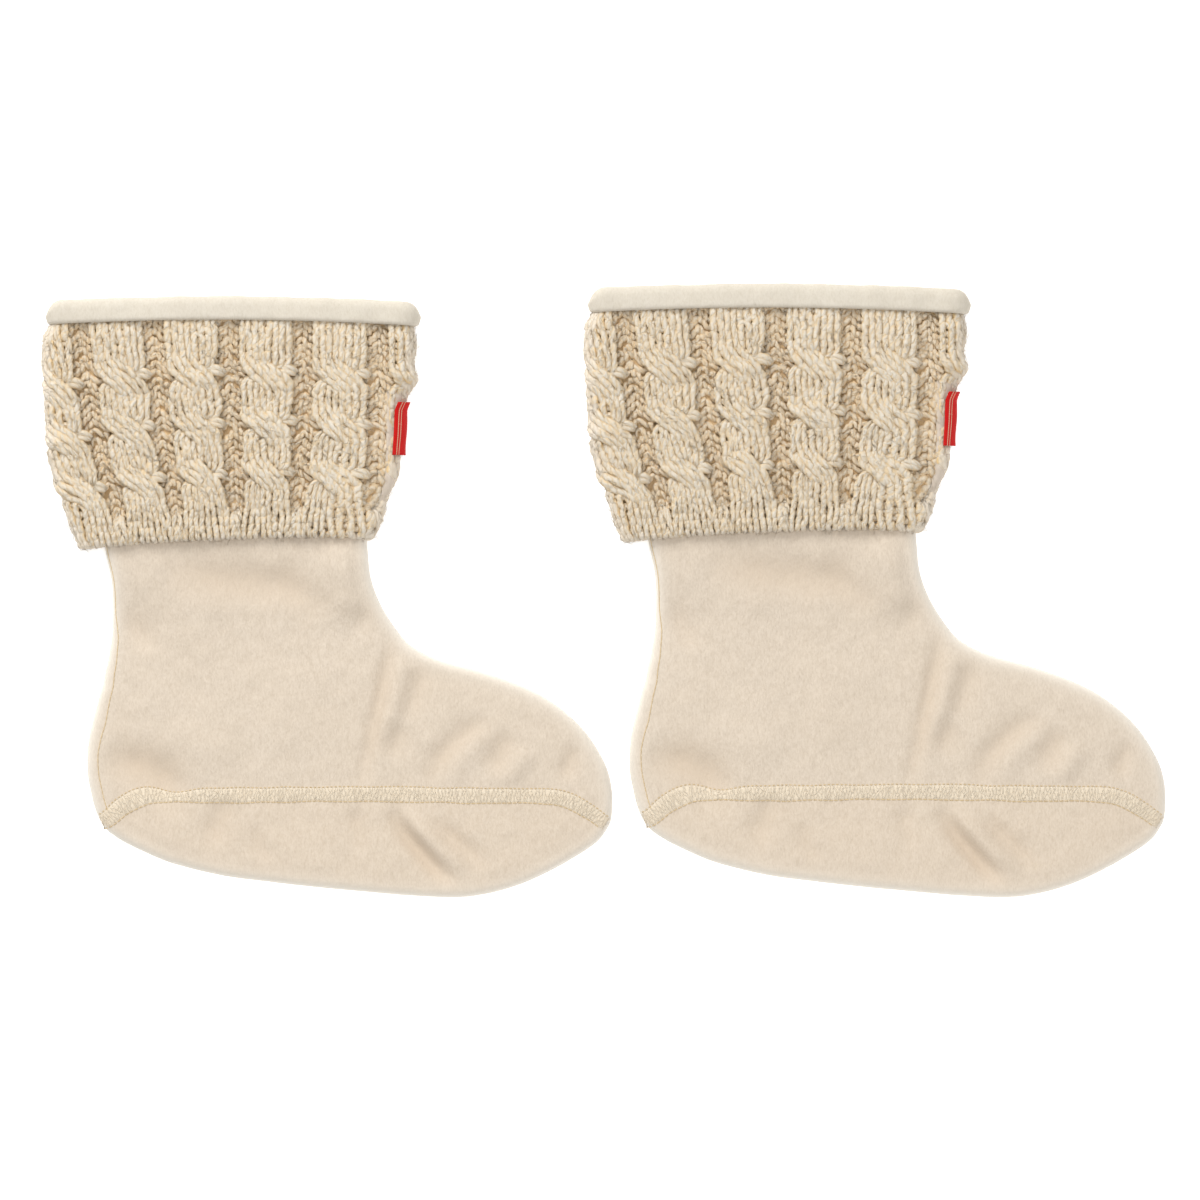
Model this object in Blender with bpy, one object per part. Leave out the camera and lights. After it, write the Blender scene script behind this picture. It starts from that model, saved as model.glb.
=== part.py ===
"""A pair of boot socks, laid flat side by side with the toes to the right.

Each sock has four sewn pieces: a fleece upper whose top edge is turned out over the knit, a fleece sole, a
cable-knit cuff turned down over the leg, and a small red tab in the cuff's side seam.

Frame: +X towards the toes, +Y towards the cuffs, +Z up from the surface that the pair lies on. The origin is on
that surface, at the middle of the pair. Sizes are in millimetres, and MM turns them into metres.

A sock's own plan coordinates start at the cuff's back edge (x) and at the lowest point of the sole (y). In every
row the flattened tube of cloth is a slit between two layers, and t is how far a face stands off that slit.
"""

import math

import bmesh
import bpy
import numpy as np

MM = 0.001

# Cloth, in millimetres
SEAM_GAP = 0.3            # between pieces that are sewn or lie together
FLEECE = 2.6              # thickness of the fleece
LEG_T = 3.25              # outer face of a fleece layer, measured from the middle of the flattened leg
INNER_T = LEG_T - FLEECE  # inner face of the same layer
BAND_T = 6.95             # outer face of the turned-over band
KNIT_UNDER = 3.4          # knit pressed flat under the leg
GUTTER_T = 5.7            # outer face of the knit between two cables
CUFF_EDGE = 6.5           # how far the cuff's side rounds in
CABLE_RISE = 2.3          # a cable's front strand over the gutters
STRAND_RISE = 1.8         # a cable's strands where they run side by side
HEM_RISE = 1.2            # the ribbed hem over the gutters
EDGE_RISE = 1.3           # how much of the cuff's outermost width is its cables' relief
SEAM_INSET = 4.3          # back seam, in from the leg's back edge
LAYER_MID = KNIT_UNDER + SEAM_GAP + LEG_T  # height of the slit inside the cuff

# Levels down the sock, as heights above the sole's lowest point
MOUTH_Y = 215.6           # top of the band at mid width
BAND_DEPTH = 7.6          # how far the fleece is turned down over the knit
HEM_Y = 129.5             # free edge of the cuff at mid width
LIFT_TOP = 124.0          # from here up the leg lies on the cuff's lower layer
LIFT_FOOT = 93.0          # from here down the leg lies on the surface
FOOT_ROW_Y = 68.4         # the last straight row; below it the rows bend towards the sole seam

# Leg inside the cuff, straight up from the first row of the next table: height, back edge, front edge
LEG_TOP = (245.0, 0.4, 137.4)

# Leg and foot: height, back edge, front edge
LEG_EDGES = (
    (134.0, 21.0, 116.6),
    (124.6, 22.7, 117.2),
    (114.5, 24.8, 118.4),
    (104.4, 25.2, 122.4),
    (94.3, 24.8, 129.2),
    (90.0, 24.1, 133.9),
    (85.7, 23.4, 142.9),
    (81.4, 22.3, 158.4),
    (77.0, 21.6, 171.0),
    (72.7, 20.2, 180.0),
    (68.4, 19.1, 186.4),
    (64.1, 18.0, 191.5),
    (59.8, 16.9, 195.5),
    (55.4, 16.2, 198.7),
    (51.1, 15.8, 201.2),
    (46.8, 15.8, 203.3),
    (42.5, 16.2, 204.5),
    (38.2, 17.1, 205.2),
    (33.8, 18.1, 205.3),
    (29.5, 19.6, 205.1),
    (26.4, 21.2, 204.4),
)

# Bottom of the foot from heel to toe: x, height
BOTTOM_EDGE = (
    (21.2, 26.4),
    (23.4, 23.9),
    (28.1, 20.6),
    (36.0, 16.6),
    (46.8, 12.2),
    (64.4, 7.9),
    (79.9, 5.8),
    (97.2, 3.8),
    (114.5, 2.2),
    (131.8, 0.7),
    (149.0, 0.0),
    (160.6, 1.4),
    (172.1, 4.7),
    (183.6, 9.9),
    (195.1, 16.6),
    (200.9, 21.1),
    (204.4, 26.4),
)

# Sole seam from heel to toe: x, height
SOLE_SEAM = (
    (15.0, 26.2),
    (21.2, 27.4),
    (24.2, 29.0),
    (29.2, 33.3),
    (37.1, 36.9),
    (46.4, 37.2),
    (66.2, 36.9),
    (99.7, 37.3),
    (126.4, 37.3),
    (153.0, 36.8),
    (179.6, 36.6),
    (189.0, 35.2),
    (196.9, 31.0),
    (200.9, 28.2),
    (204.2, 25.6),
    (210.0, 21.0),
)

# Cuff, over its cables: share of the way down from band to hem, back edge, front edge
CUFF_EDGES = (
    (0.00, 1.2, 134.8),
    (0.08, 0.4, 134.6),
    (0.17, 0.0, 134.0),
    (0.25, 0.5, 134.9),
    (0.33, 0.9, 133.0),
    (0.40, 0.9, 131.2),
    (0.50, 1.4, 131.0),
    (0.61, 2.4, 130.6),
    (0.72, 4.0, 129.4),
    (0.82, 6.4, 125.8),
    (0.90, 9.2, 123.6),
    (0.96, 11.6, 121.4),
    (1.00, 13.6, 119.4),
)
CUFF_HEM_BOW = (124.6, 129.5, 128.6)   # height of the hem at the back, middle and front
BAND_BOW = (-1.9, 0.0, -2.3)           # the band's edges against their middle at the same three places

# Cables: how far across the cuff each one runs, at the band, half way and at the hem
CABLE_PATHS = (
    (-0.4, 7.2, 17.3),
    (26.6, 31.0, 38.2),
    (53.6, 55.4, 58.7),
    (80.4, 81.4, 81.0),
    (107.3, 106.6, 102.6),
    (134.6, 136.0, 138.0),
)
CUFF_MIDDLE = 67.0        # half way across the cuff
LAST_CABLE_ENDS = 0.26    # the cable at the front runs out into the side seam here
CABLE_HALF = 9.7          # half a cable's width
STRAND_OFFSET = 4.6       # a strand's middle from the cable's middle
STRAND_HALF = 5.2         # half a strand's width
CROSSINGS = (0.245, 0.475, 0.705)   # where the strands cross, as a share of the way down
CROSS_REACH = 0.085       # how far above and below that they swap sides
RIB_STARTS = 0.86         # here the cables run out into the ribbed hem

# Creases pressed into the fleece: two ends, half width, height (a trough is negative)
CREASES = (
    ((123.5, 88.0), (115.6, 43.5), 3.4, -1.1),
    ((129.5, 86.5), (122.8, 50.0), 3.6, 1.1),
    ((147.5, 60.5), (138.0, 45.0), 3.2, -0.9),
    ((155.0, 66.0), (143.0, 49.0), 4.2, 0.8),
    ((165.0, 53.5), (159.0, 42.0), 3.4, -0.8),
    ((174.5, 52.0), (169.0, 42.5), 4.0, 0.7),
    ((128.5, 26.0), (147.5, 12.0), 3.0, -1.0),
    ((134.5, 30.0), (154.5, 13.5), 3.4, 0.9),
    ((27.0, 54.5), (43.0, 47.0), 5.0, -0.8),
    ((100.0, 122.0), (104.0, 110.0), 6.0, 0.8),
)
DOME_RISE = 1.0           # how far the foot's middle stands above its edges
DOME_REACH = 14.0         # distance from the edge over which it rises

# Red tab: share of the way down, and the angles round the cuff's edge between which it lies
TAB_ROWS = (
    (0.344, 50.0, -14.0),
    (0.470, 60.0, -2.0),
    (0.596, 72.0, 12.0),
)
TAB_THICK = 1.0

# The pair: name, place of the sock's own origin, and how far the sock is spread
SOCKS = (
    ("left", -202.16, -110.06, 1.00),
    ("right", -6.86, -110.06, 1.021),
)

FLEECE_COLOUR = (0.776, 0.680, 0.551)
SOLE_COLOUR = (0.752, 0.651, 0.514)
KNIT_COLOUR = (0.630, 0.520, 0.380)
TAB_COLOUR = (0.620, 0.020, 0.020)

FOLD_ANGLES = (90.0, 62.0, 35.0, 0.0, -35.0, -62.0, -90.0)
CUFF_SIDE_ANGLES = (-90.0, -62.0, -35.0, -12.0, 5.0, 25.0, 45.0, 65.0, 80.0)
CABLE_COLUMNS = (-9.7, -7.4, -4.6, -2.2, 0.0, 2.2, 4.6, 7.4, 9.7)   # columns across a cable, from its middle
BACK_COLUMNS = 4          # columns between the cuff's rounded back edge and the first whole cable
FRONT_COLUMNS = 2         # columns between the last whole cable and the rounded front edge
LEG_ROWS = (170.0, 134.0, 124.0, 118.0, 112.0, 106.0, 100.0, 94.0, 89.5, 85.5, 81.5, 77.5, 73.0)
FOOT_ROWS = (0.0, 0.15, 0.3, 0.45, 0.6, 0.74, 0.88, 1.0)   # shares of the way from FOOT_ROW_Y to the seam
TOP_COLUMNS = 19          # columns between the back seam and the front fold
SEARCH_STEP = 0.1         # spacing of the samples along a row
CUFF_ROWS = 25            # rows of the cuff's outer face between its rounded edges
CUFF_ROUNDING = ((0.0, 1.2), (0.010, 0.35))   # share in from an edge, and how far the wall is drawn in there
HEM_ROUNDING = 1.6        # how much more the wall is drawn in at the hem
CUFF_INSIDE_LEVELS = (1.0, 0.93, 0.885, 0.0)  # shares of the way down at which the plain inside bends


def smoothstep(low, high, value):
    """Eases from 0 at low to 1 at high."""
    share = np.clip((np.asarray(value, float) - low) / (high - low), 0.0, 1.0)
    return share * share * (3.0 - 2.0 * share)


def smooth_curve(points, spacing):
    """Reads a smooth plan curve through hand-set points, about one sample per spacing."""
    points = [np.array(p, float) for p in points]
    ends = [2 * points[0] - points[1]] + points + [2 * points[-1] - points[-2]]
    samples = []
    for before, start, stop, after in zip(ends, ends[1:], ends[2:], ends[3:]):
        count = max(2, int(np.linalg.norm(stop - start) / spacing))
        for share in np.arange(count) / count:
            square, cube = share ** 2, share ** 3
            samples.append(0.5 * (2 * start + (stop - before) * share
                                  + (2 * before - 5 * start + 4 * stop - after) * square
                                  + (3 * start - before - 3 * stop + after) * cube))
    samples.append(points[-1])
    return np.array(samples)


BACK_LINE = smooth_curve([(back, height) for height, back, front in LEG_EDGES], 1.0)
BACK_LINE = np.vstack([(LEG_TOP[1], LEG_TOP[0]), BACK_LINE])
FRONT_LINE = smooth_curve([(front, height) for height, back, front in LEG_EDGES], 1.0)
FRONT_LINE = np.vstack([(LEG_TOP[2], LEG_TOP[0]), FRONT_LINE])
BOTTOM_LINE = smooth_curve(BOTTOM_EDGE, 1.0)
SEAM_LINE = smooth_curve(SOLE_SEAM, 1.0)
OUTLINE = np.vstack([BACK_LINE, BOTTOM_LINE[1:-1], FRONT_LINE[::-1]])


def depth_inside(points):
    """Gives each plan point's distance from the leg's and foot's edge, negative outside it."""
    points = np.atleast_2d(points)
    start, stop = OUTLINE[:-1], OUTLINE[1:]
    along = stop - start
    to_point = points[:, None, :] - start[None]
    share = np.clip((to_point * along).sum(2) / (along ** 2).sum(1), 0.0, 1.0)
    gap = to_point - share[..., None] * along
    distance = np.sqrt((gap ** 2).sum(2)).min(1)
    crosses = (start[:, 1] > points[:, 1:2]) != (stop[:, 1] > points[:, 1:2])
    rise = np.where(along[:, 1] == 0, 1e-9, along[:, 1])
    at_x = start[:, 0] + (points[:, 1:2] - start[:, 1]) / rise * along[:, 0]
    inside = ((at_x > points[:, :1]) & crosses).sum(1) % 2 == 1
    return np.where(inside, distance, -distance)


def seam_height(x):
    """Height of the sole seam above the sole's lowest point."""
    return np.interp(x, SEAM_LINE[:, 0], SEAM_LINE[:, 1])


def seam_shift(x, offset):
    """Moves the seam square to itself by offset, and gives its new height at x."""
    slope = (seam_height(np.asarray(x) + 0.5) - seam_height(np.asarray(x) - 0.5))
    return seam_height(x) + offset * np.sqrt(1.0 + slope ** 2)


def bow(heights, x):
    """Reads a gently bowed edge from its height at the back, middle and front of the cuff."""
    back, middle, front = heights
    share = np.asarray(x, float) / CUFF_EDGES[0][2]
    return (back * (1 - share) * (1 - 2 * share) + 4 * middle * share * (1 - share)
            + front * share * (2 * share - 1))


def leg_lift(height):
    """How far the leg's lower face stands off the surface: on the cuff's lower layer, or on the surface."""
    return (KNIT_UNDER + SEAM_GAP) * smoothstep(LIFT_FOOT, LIFT_TOP, height)


def crease_relief(points):
    """Adds up the creases and the foot's low dome at each plan point."""
    total = DOME_RISE * (1.0 - np.exp(-depth_inside(points) / DOME_REACH))
    total *= smoothstep(LIFT_TOP + 4.0, LIFT_FOOT + 10.0, points[:, 1])
    for start, stop, half_width, height in CREASES:
        start, stop = np.array(start), np.array(stop)
        along = stop - start
        share = ((points - start) @ along) / (along @ along)
        nearest = start + np.clip(share, 0.0, 1.0)[:, None] * along
        gap = np.linalg.norm(points - nearest, axis=1)
        fade = smoothstep(-0.3, 0.3, share) * smoothstep(1.3, 0.7, share)
        total += height * fade * np.exp(-(gap / half_width) ** 2)
    return total


def row_samples(curve):
    """Samples one row of the upper from behind its back edge to past its front edge."""
    x = np.arange(-8.0, 215.0, SEARCH_STEP)
    points = np.column_stack([x, curve(x)])
    return points, depth_inside(points)


def from_back(points, depth, target):
    """Finds where a row first lies target deep, coming from the back edge."""
    index = int(np.argmax(depth >= target))
    share = (target - depth[index - 1]) / (depth[index] - depth[index - 1])
    return points[index - 1] + share * (points[index] - points[index - 1])


def from_front(points, depth, target):
    """Finds where a row first lies target deep, coming from the front edge."""
    return from_back(points[::-1], depth[::-1], target)


def layer_point(point, t, angle, lift):
    """Places a plan point on the rounded face that stands t off the slit, at an angle from the horizontal."""
    return (point[0], point[1], lift + LEG_T + t * math.sin(math.radians(angle)))


def fleece_ring(curve, t, creased):
    """One open ring of the upper: from the back seam over the top layer, round the front and back underneath."""
    points, depth = row_samples(curve)
    fold_depths = [LEG_T - t * math.cos(math.radians(a)) for a in FOLD_ANGLES]
    front = [from_front(points, depth, d) for d in fold_depths]
    back = [from_back(points, depth, d) for d in fold_depths]
    seam = from_back(points, depth, SEAM_INSET)
    shares = np.linspace(0.0, 1.0, TOP_COLUMNS + 2)[1:-1]
    top_x = seam[0] + shares * (front[0][0] - seam[0])
    top = [seam + (SEAM_GAP / 2, 0.0)] + [np.array((x, float(curve(x)))) for x in top_x]
    under = top[1:][::-1] + [seam]
    end = seam - (SEAM_GAP / 2, 0.0)
    plan = top + front + under + back[::-1] + [end]
    angles = ([90.0] * len(top) + list(FOLD_ANGLES) + [-90.0] * len(under)
              + [-a for a in FOLD_ANGLES] + [90.0])
    ring = [layer_point(p, t, a, float(leg_lift(p[1]))) for p, a in zip(plan, angles)]
    if creased:
        flat = np.array(plan)
        relief = crease_relief(flat) * smoothstep(LEG_T * 0.6, LEG_T * 2.4, depth_inside(flat))
        ring = [(x, y, z + (rise if a > 80.0 else 0.0)) for (x, y, z), rise, a in zip(ring, relief, angles)]
    return ring


def band_curve(height):
    """A row of the band and of the leg inside the cuff, bowed like the band's top edge."""
    share = float(smoothstep(HEM_Y, MOUTH_Y - BAND_DEPTH, height))
    return lambda x: height + share * bow(BAND_BOW, np.clip(x, 0.0, CUFF_EDGES[0][2]))


def foot_curve(share):
    """A row of the foot, part of the way from the last straight row to the sole seam."""
    offset = SEAM_GAP / 2 if share == 1.0 else 0.0
    return lambda x: FOOT_ROW_Y + share * (seam_shift(x, offset) - FOOT_ROW_Y)


def upper_rows():
    """Lists the upper's rows as (curve, t of the face that shows on the band, t of the face that shows below)."""
    turn_t = (BAND_T + INNER_T) / 2
    wide, tight = BAND_T - turn_t, turn_t - LEG_T
    turn_y = MOUTH_Y - wide
    rows = [(MOUTH_Y - BAND_DEPTH, MOUTH_Y - BAND_DEPTH, BAND_T, BAND_T - FLEECE)]
    for angle in (0.0, 30.0, 60.0, 90.0, 120.0, 150.0, 180.0):
        turn = math.radians(angle)
        rows.append((turn_y + wide * math.sin(turn), turn_y + tight * math.sin(turn),
                     turn_t + wide * math.cos(turn), turn_t + tight * math.cos(turn)))
    rows += [(y, y, INNER_T, LEG_T) for y in LEG_ROWS]
    curves = [(band_curve(inner), band_curve(outer), inner_t, outer_t) for inner, outer, inner_t, outer_t in rows]
    for share in FOOT_ROWS:
        curves.append((foot_curve(share), foot_curve(share), INNER_T, LEG_T))
    return curves


def loft(rings, closed_ring):
    """Joins rings of equal length into a mesh whose last ring meets its first, as one closed body."""
    body = bmesh.new()
    rows = [[body.verts.new(p) for p in ring] for ring in rings]
    for row, after in zip(rows, rows[1:] + rows[:1]):
        pairs = list(zip(row, row[1:] + row[:1])) if closed_ring else list(zip(row, row[1:]))
        other = list(zip(after, after[1:] + after[:1])) if closed_ring else list(zip(after, after[1:]))
        for (a, b), (d, c) in zip(pairs, other):
            body.faces.new((a, b, c, d))
    if not closed_ring:
        body.faces.new([row[0] for row in rows])
        body.faces.new([row[-1] for row in reversed(rows)])
    return body


def sock_upper():
    """Fleece upper: an open tube from the band's free edge over the mouth and down to the sole seam."""
    rows = upper_rows()
    band_face = [fleece_ring(inner, inner_t, False) for inner, outer, inner_t, outer_t in rows]
    leg_face = [fleece_ring(outer, outer_t, outer_t == LEG_T) for inner, outer, inner_t, outer_t in rows]
    return loft(band_face + leg_face[::-1], False)


def seam_stations():
    """Plan points of the sole seam that the upper's last row uses too, without its rounded ends."""
    ring_points, depth = row_samples(foot_curve(1.0))
    seam = from_back(ring_points, depth, SEAM_INSET)
    front = from_front(ring_points, depth, LEG_T)
    shares = np.linspace(0.0, 1.0, TOP_COLUMNS + 2)[1:-1]
    return [seam[0] + share * (front[0] - seam[0]) for share in shares]


def sole_ring(start, stop, curve, t, creased):
    """One open ring of the sole: from the seam on top, round the foot's bottom edge, to the seam underneath."""
    length = np.linalg.norm(stop - start)
    shares = np.arange(0.0, 1.0 + 6.0 / length, SEARCH_STEP / length)
    points = curve(start, stop, shares)
    depth = depth_inside(points)
    from_edge = depth[::-1]
    fold = [from_back(points[::-1], from_edge, LEG_T - t * math.cos(math.radians(a))) for a in FOLD_ANGLES]
    middle = [start + (fold[0] - start) * share for share in (0.33, 0.67)]
    plan = [start] + middle + fold + middle[::-1] + [start]
    angles = [90.0] * 3 + list(FOLD_ANGLES) + [-90.0] * 3
    ring = [layer_point(p, t, a, 0.0) for p, a in zip(plan, angles)]
    if creased:
        flat = np.array(plan)
        relief = crease_relief(flat) * smoothstep(LEG_T * 0.6, LEG_T * 2.4, depth_inside(flat))
        ring = [(x, y, z + (rise if a > 80.0 else 0.0)) for (x, y, z), rise, a in zip(ring, relief, angles)]
    return ring


def straight(start, stop, shares):
    """Points on the straight line from start through stop."""
    return start + shares[:, None] * (stop - start)


def along_seam(start, stop, shares):
    """Points on the sole's side of the seam, from start towards stop."""
    x = start[0] + shares * (stop[0] - start[0])
    return np.column_stack([x, seam_shift(x, -SEAM_GAP / 2)])


def sock_sole():
    """Fleece sole: a boat-shaped panel folded round the bottom of the foot."""
    starts = [np.array((x, float(seam_shift(x, -SEAM_GAP / 2)))) for x in seam_stations()]
    steps = np.linalg.norm(np.diff(BOTTOM_LINE, axis=0), axis=1)
    travelled = np.concatenate([[0.0], np.cumsum(steps)]) / steps.sum()
    seam_share = np.linspace(0.0, 1.0, len(starts))
    stops = [np.array([np.interp(s, travelled, BOTTOM_LINE[:, i]) for i in (0, 1)]) for s in seam_share]
    outer, inner = [], []
    for index, (start, stop) in enumerate(zip(starts, stops)):
        curve = along_seam if index in (0, len(starts) - 1) else straight
        outer.append(sole_ring(start, stop, curve, LEG_T, True))
        inner.append(sole_ring(start, stop, curve, INNER_T, False))
    body = bmesh.new()
    outside = [[body.verts.new(p) for p in ring] for ring in outer]
    inside = [[body.verts.new(p) for p in ring] for ring in inner]
    for rows, turned in ((outside, False), (inside, True)):
        for row, after in zip(rows, rows[1:]):
            for a, b, c, d in zip(row, row[1:], after[1:], after):
                body.faces.new((d, c, b, a) if turned else (a, b, c, d))
    for row, other in ((outside[0], inside[0]), (inside[-1], outside[-1])):
        for a, b, c, d in zip(row, row[1:], other[1:], other):
            body.faces.new((d, c, b, a))
    for column, turned in ((0, True), (-1, False)):
        for k in range(len(outside) - 1):
            a, b = outside[k][column], outside[k + 1][column]
            c, d = inside[k + 1][column], inside[k][column]
            body.faces.new((d, c, b, a) if turned else (a, b, c, d))
    return body


def cable_middle(path, down):
    """Reads how far across the cuff a cable runs, at a share of the way down."""
    top, half, hem = path
    return np.interp(down, (0.0, 0.5, 0.86, 1.0), (top, half, hem, hem + 0.2 * (hem - half)))


def cable_relief(across, down):
    """Height of the cables over the gutters, for a place across the cuff and down it."""
    best = 0.0
    for number, path in enumerate(CABLE_PATHS):
        gap = across - float(cable_middle(path, down))
        if abs(gap) > CABLE_HALF + 1.0:
            continue
        swap, over = 0.0, 0.0
        for crossing in CROSSINGS:
            share = (down - crossing) / CROSS_REACH
            if abs(share) < 1.0:
                swap = math.sin(share * math.pi / 2)
                over = math.cos(share * math.pi / 2)
        offset = STRAND_OFFSET * (swap if over else 1.0)
        front = STRAND_RISE + (CABLE_RISE - STRAND_RISE) * over
        behind = STRAND_RISE * (1.0 - 0.6 * over)
        fade = 1.0 - float(smoothstep(RIB_STARTS - 0.06, RIB_STARTS + 0.04, down))
        if number == len(CABLE_PATHS) - 1:
            fade *= 1.0 - float(smoothstep(LAST_CABLE_ENDS - 0.04, LAST_CABLE_ENDS + 0.04, down))
        for middle, rise in ((offset, front), (-offset, behind)):
            reach = 1.0 - ((gap - middle) / STRAND_HALF) ** 2
            if reach > 0.0:
                best = max(best, rise * fade * math.sqrt(reach))
    rib = HEM_RISE * float(smoothstep(RIB_STARTS - 0.04, RIB_STARTS + 0.04, down))
    return max(best, rib)


def cuff_edges(down):
    """Back and front edge of the cuff, at a share of the way down."""
    shares, back, front = zip(*CUFF_EDGES)
    return float(np.interp(down, shares, back)) + EDGE_RISE, float(np.interp(down, shares, front)) - EDGE_RISE


def cuff_height(x, down):
    """Height above the sole of the cuff's row at a share of the way down."""
    x = np.clip(x, 0.0, CUFF_EDGES[0][2])
    top = MOUTH_Y - BAND_DEPTH - SEAM_GAP + bow(BAND_BOW, x)
    return float(top + down * (bow(CUFF_HEM_BOW, x) - top))


def cuff_section(down):
    """The cuff's plain outer section at a level: a list of (x, angle, across), once round from the back edge's underside."""
    back, front = cuff_edges(down)
    radius = (CUFF_EDGE + GUTTER_T) / 2
    left, right = back + CUFF_EDGE, front - CUFF_EDGE
    section = []
    for angle in CUFF_SIDE_ANGLES:
        section.append((left - CUFF_EDGE * math.cos(math.radians(angle)), angle,
                        left - radius * math.radians(90.0 - angle)))
    for across in top_columns(left, right, down):
        section.append((across, 90.0, across))
    for angle in reversed(CUFF_SIDE_ANGLES):
        section.append((right + CUFF_EDGE * math.cos(math.radians(angle)), angle,
                        right + radius * math.radians(90.0 - angle)))
    return section


def top_columns(left, right, down):
    """Columns over the cuff's top layer, gathered on the four whole cables."""
    columns = []
    for path in CABLE_PATHS[1:-1]:
        middle = float(cable_middle(path, down))
        columns += [middle + c for c in CABLE_COLUMNS]
    gutters = [(a + b) / 2 for a, b in zip(columns[8::9], columns[9::9])]
    before = list(np.linspace(left, columns[0], BACK_COLUMNS + 2)[1:-1])
    after = list(np.linspace(columns[-1], right, FRONT_COLUMNS + 2)[1:-1])
    return sorted(columns + gutters + before + after)


def cuff_outer_ring(down, shrink):
    """Outer ring of the cuff, its cables raised; shrink draws the ring in towards the wall's inside at the hem."""
    ring = []
    for x, angle, across in cuff_section(down):
        lean = math.radians(angle)
        rise = cable_relief(across, down) * float(smoothstep(-50.0, -5.0, angle)) - shrink
        under = LAYER_MID if angle < 0.0 else GUTTER_T
        out_x = math.cos(lean) * rise * (-1.0 if x < CUFF_MIDDLE else 1.0)
        z = LAYER_MID + math.sin(lean) * (under + (rise if angle > 0.0 else min(rise, 0.0)))
        ring.append((x + out_x, cuff_height(x, down), z))
    return ring


def cuff_inner_ring(down):
    """Plain inner ring of the cuff, just clear of the leg."""
    half = LEG_T + SEAM_GAP
    count = len(cuff_section(0.5))
    sides = len(CUFF_SIDE_ANGLES)
    edges = cuff_edges(down)
    back_height, front_height = cuff_height(edges[0], down), cuff_height(edges[1], down)
    back = float(np.interp(back_height, BACK_LINE[::-1, 1], BACK_LINE[::-1, 0])) + LEG_T
    front = float(np.interp(front_height, FRONT_LINE[::-1, 1], FRONT_LINE[::-1, 0])) - LEG_T
    ring = []
    for angle in CUFF_SIDE_ANGLES:
        turned = math.radians(angle)
        ring.append((back - half * math.cos(turned), LAYER_MID + half * math.sin(turned)))
    for share in np.linspace(0.0, 1.0, count - 2 * sides + 2)[1:-1]:
        ring.append((back + share * (front - back), LAYER_MID + half))
    for angle in reversed(CUFF_SIDE_ANGLES):
        turned = math.radians(angle)
        ring.append((front + half * math.cos(turned), LAYER_MID + half * math.sin(turned)))
    return [(x, cuff_height(x, down), z) for x, z in ring]


def sock_cuff():
    """Cable-knit cuff: a tube round the leg, cables raised outside over a plain inside."""
    rounding = list(CUFF_ROUNDING)
    levels = rounding + [(s, 0.0) for s in np.linspace(0.03, 0.97, CUFF_ROWS)]
    levels += [(1.0 - share, HEM_ROUNDING * drawn) for share, drawn in reversed(rounding)]
    outer = [cuff_outer_ring(down, drawn) for down, drawn in levels]
    inner = [cuff_inner_ring(down) for down in CUFF_INSIDE_LEVELS]
    return loft(outer + inner, True)


def sock_tab():
    """Red tab: folded tape caught in the side seam, lying round the cuff's front edge."""
    radius = (CUFF_EDGE + GUTTER_T) / 2
    rings = []
    for down, first, last in TAB_ROWS:
        right = cuff_edges(down)[1] - CUFF_EDGE
        faces = []
        for off in (SEAM_GAP, SEAM_GAP + TAB_THICK):
            line = []
            for angle in np.linspace(first, last, 6):
                lean = math.radians(angle)
                line.append((right + (CUFF_EDGE + off) * math.cos(lean), cuff_height(right, down),
                             LAYER_MID + (GUTTER_T + off) * math.sin(lean)))
            faces.append(line)
        rings.append(faces[0] + faces[1][::-1])
    body = bmesh.new()
    rows = [[body.verts.new(p) for p in ring] for ring in rings]
    for row, after in zip(rows, rows[1:]):
        for a, b, c, d in zip(row, row[1:] + row[:1], after[1:] + after[:1], after):
            body.faces.new((a, b, c, d))
    body.faces.new(rows[0][::-1])
    body.faces.new(rows[-1])
    return body


def cloth(name, colour, roughness):
    """A plain cloth material."""
    material = bpy.data.materials.new(name)
    material.use_nodes = True
    shader = material.node_tree.nodes["Principled BSDF"]
    shader.inputs["Base Color"].default_value = (*colour, 1.0)
    shader.inputs["Roughness"].default_value = roughness
    shader.inputs["Metallic"].default_value = 0.0
    return material


def place(name, body, material, sock):
    """Turns a body in a sock's own millimetres into a named object in its place in the pair."""
    side, x, y, spread = sock
    for vert in body.verts:
        across, up, height = vert.co
        vert.co = ((x + across * spread) * MM, (y + up * spread) * MM, height * MM)
    bmesh.ops.recalc_face_normals(body, faces=body.faces)
    bmesh.ops.dissolve_limit(body, angle_limit=math.radians(0.05), verts=body.verts, edges=body.edges,
                             delimit={"NORMAL"})
    mesh = bpy.data.meshes.new(name)
    body.to_mesh(mesh)
    body.free()
    mesh.shade_smooth()
    mesh.set_sharp_from_angle(angle=math.radians(40.0))
    mesh.materials.append(material)
    piece = bpy.data.objects.new(f"{side}_{name}", mesh)
    bpy.context.scene.collection.objects.link(piece)


def main():
    """Builds the pair."""
    for old in list(bpy.data.objects):
        bpy.data.objects.remove(old, do_unlink=True)
    fleece = cloth("cream fleece", FLEECE_COLOUR, 0.95)
    sole = cloth("cream fleece sole", SOLE_COLOUR, 0.95)
    knit = cloth("oatmeal knit", KNIT_COLOUR, 0.9)
    tape = cloth("red tape", TAB_COLOUR, 0.7)
    pieces = (("upper", sock_upper, fleece), ("sole", sock_sole, sole), ("cuff", sock_cuff, knit),
              ("tab", sock_tab, tape))
    for sock in SOCKS:
        for name, build, material in pieces:
            place(name, build(), material, sock)


main()
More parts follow.
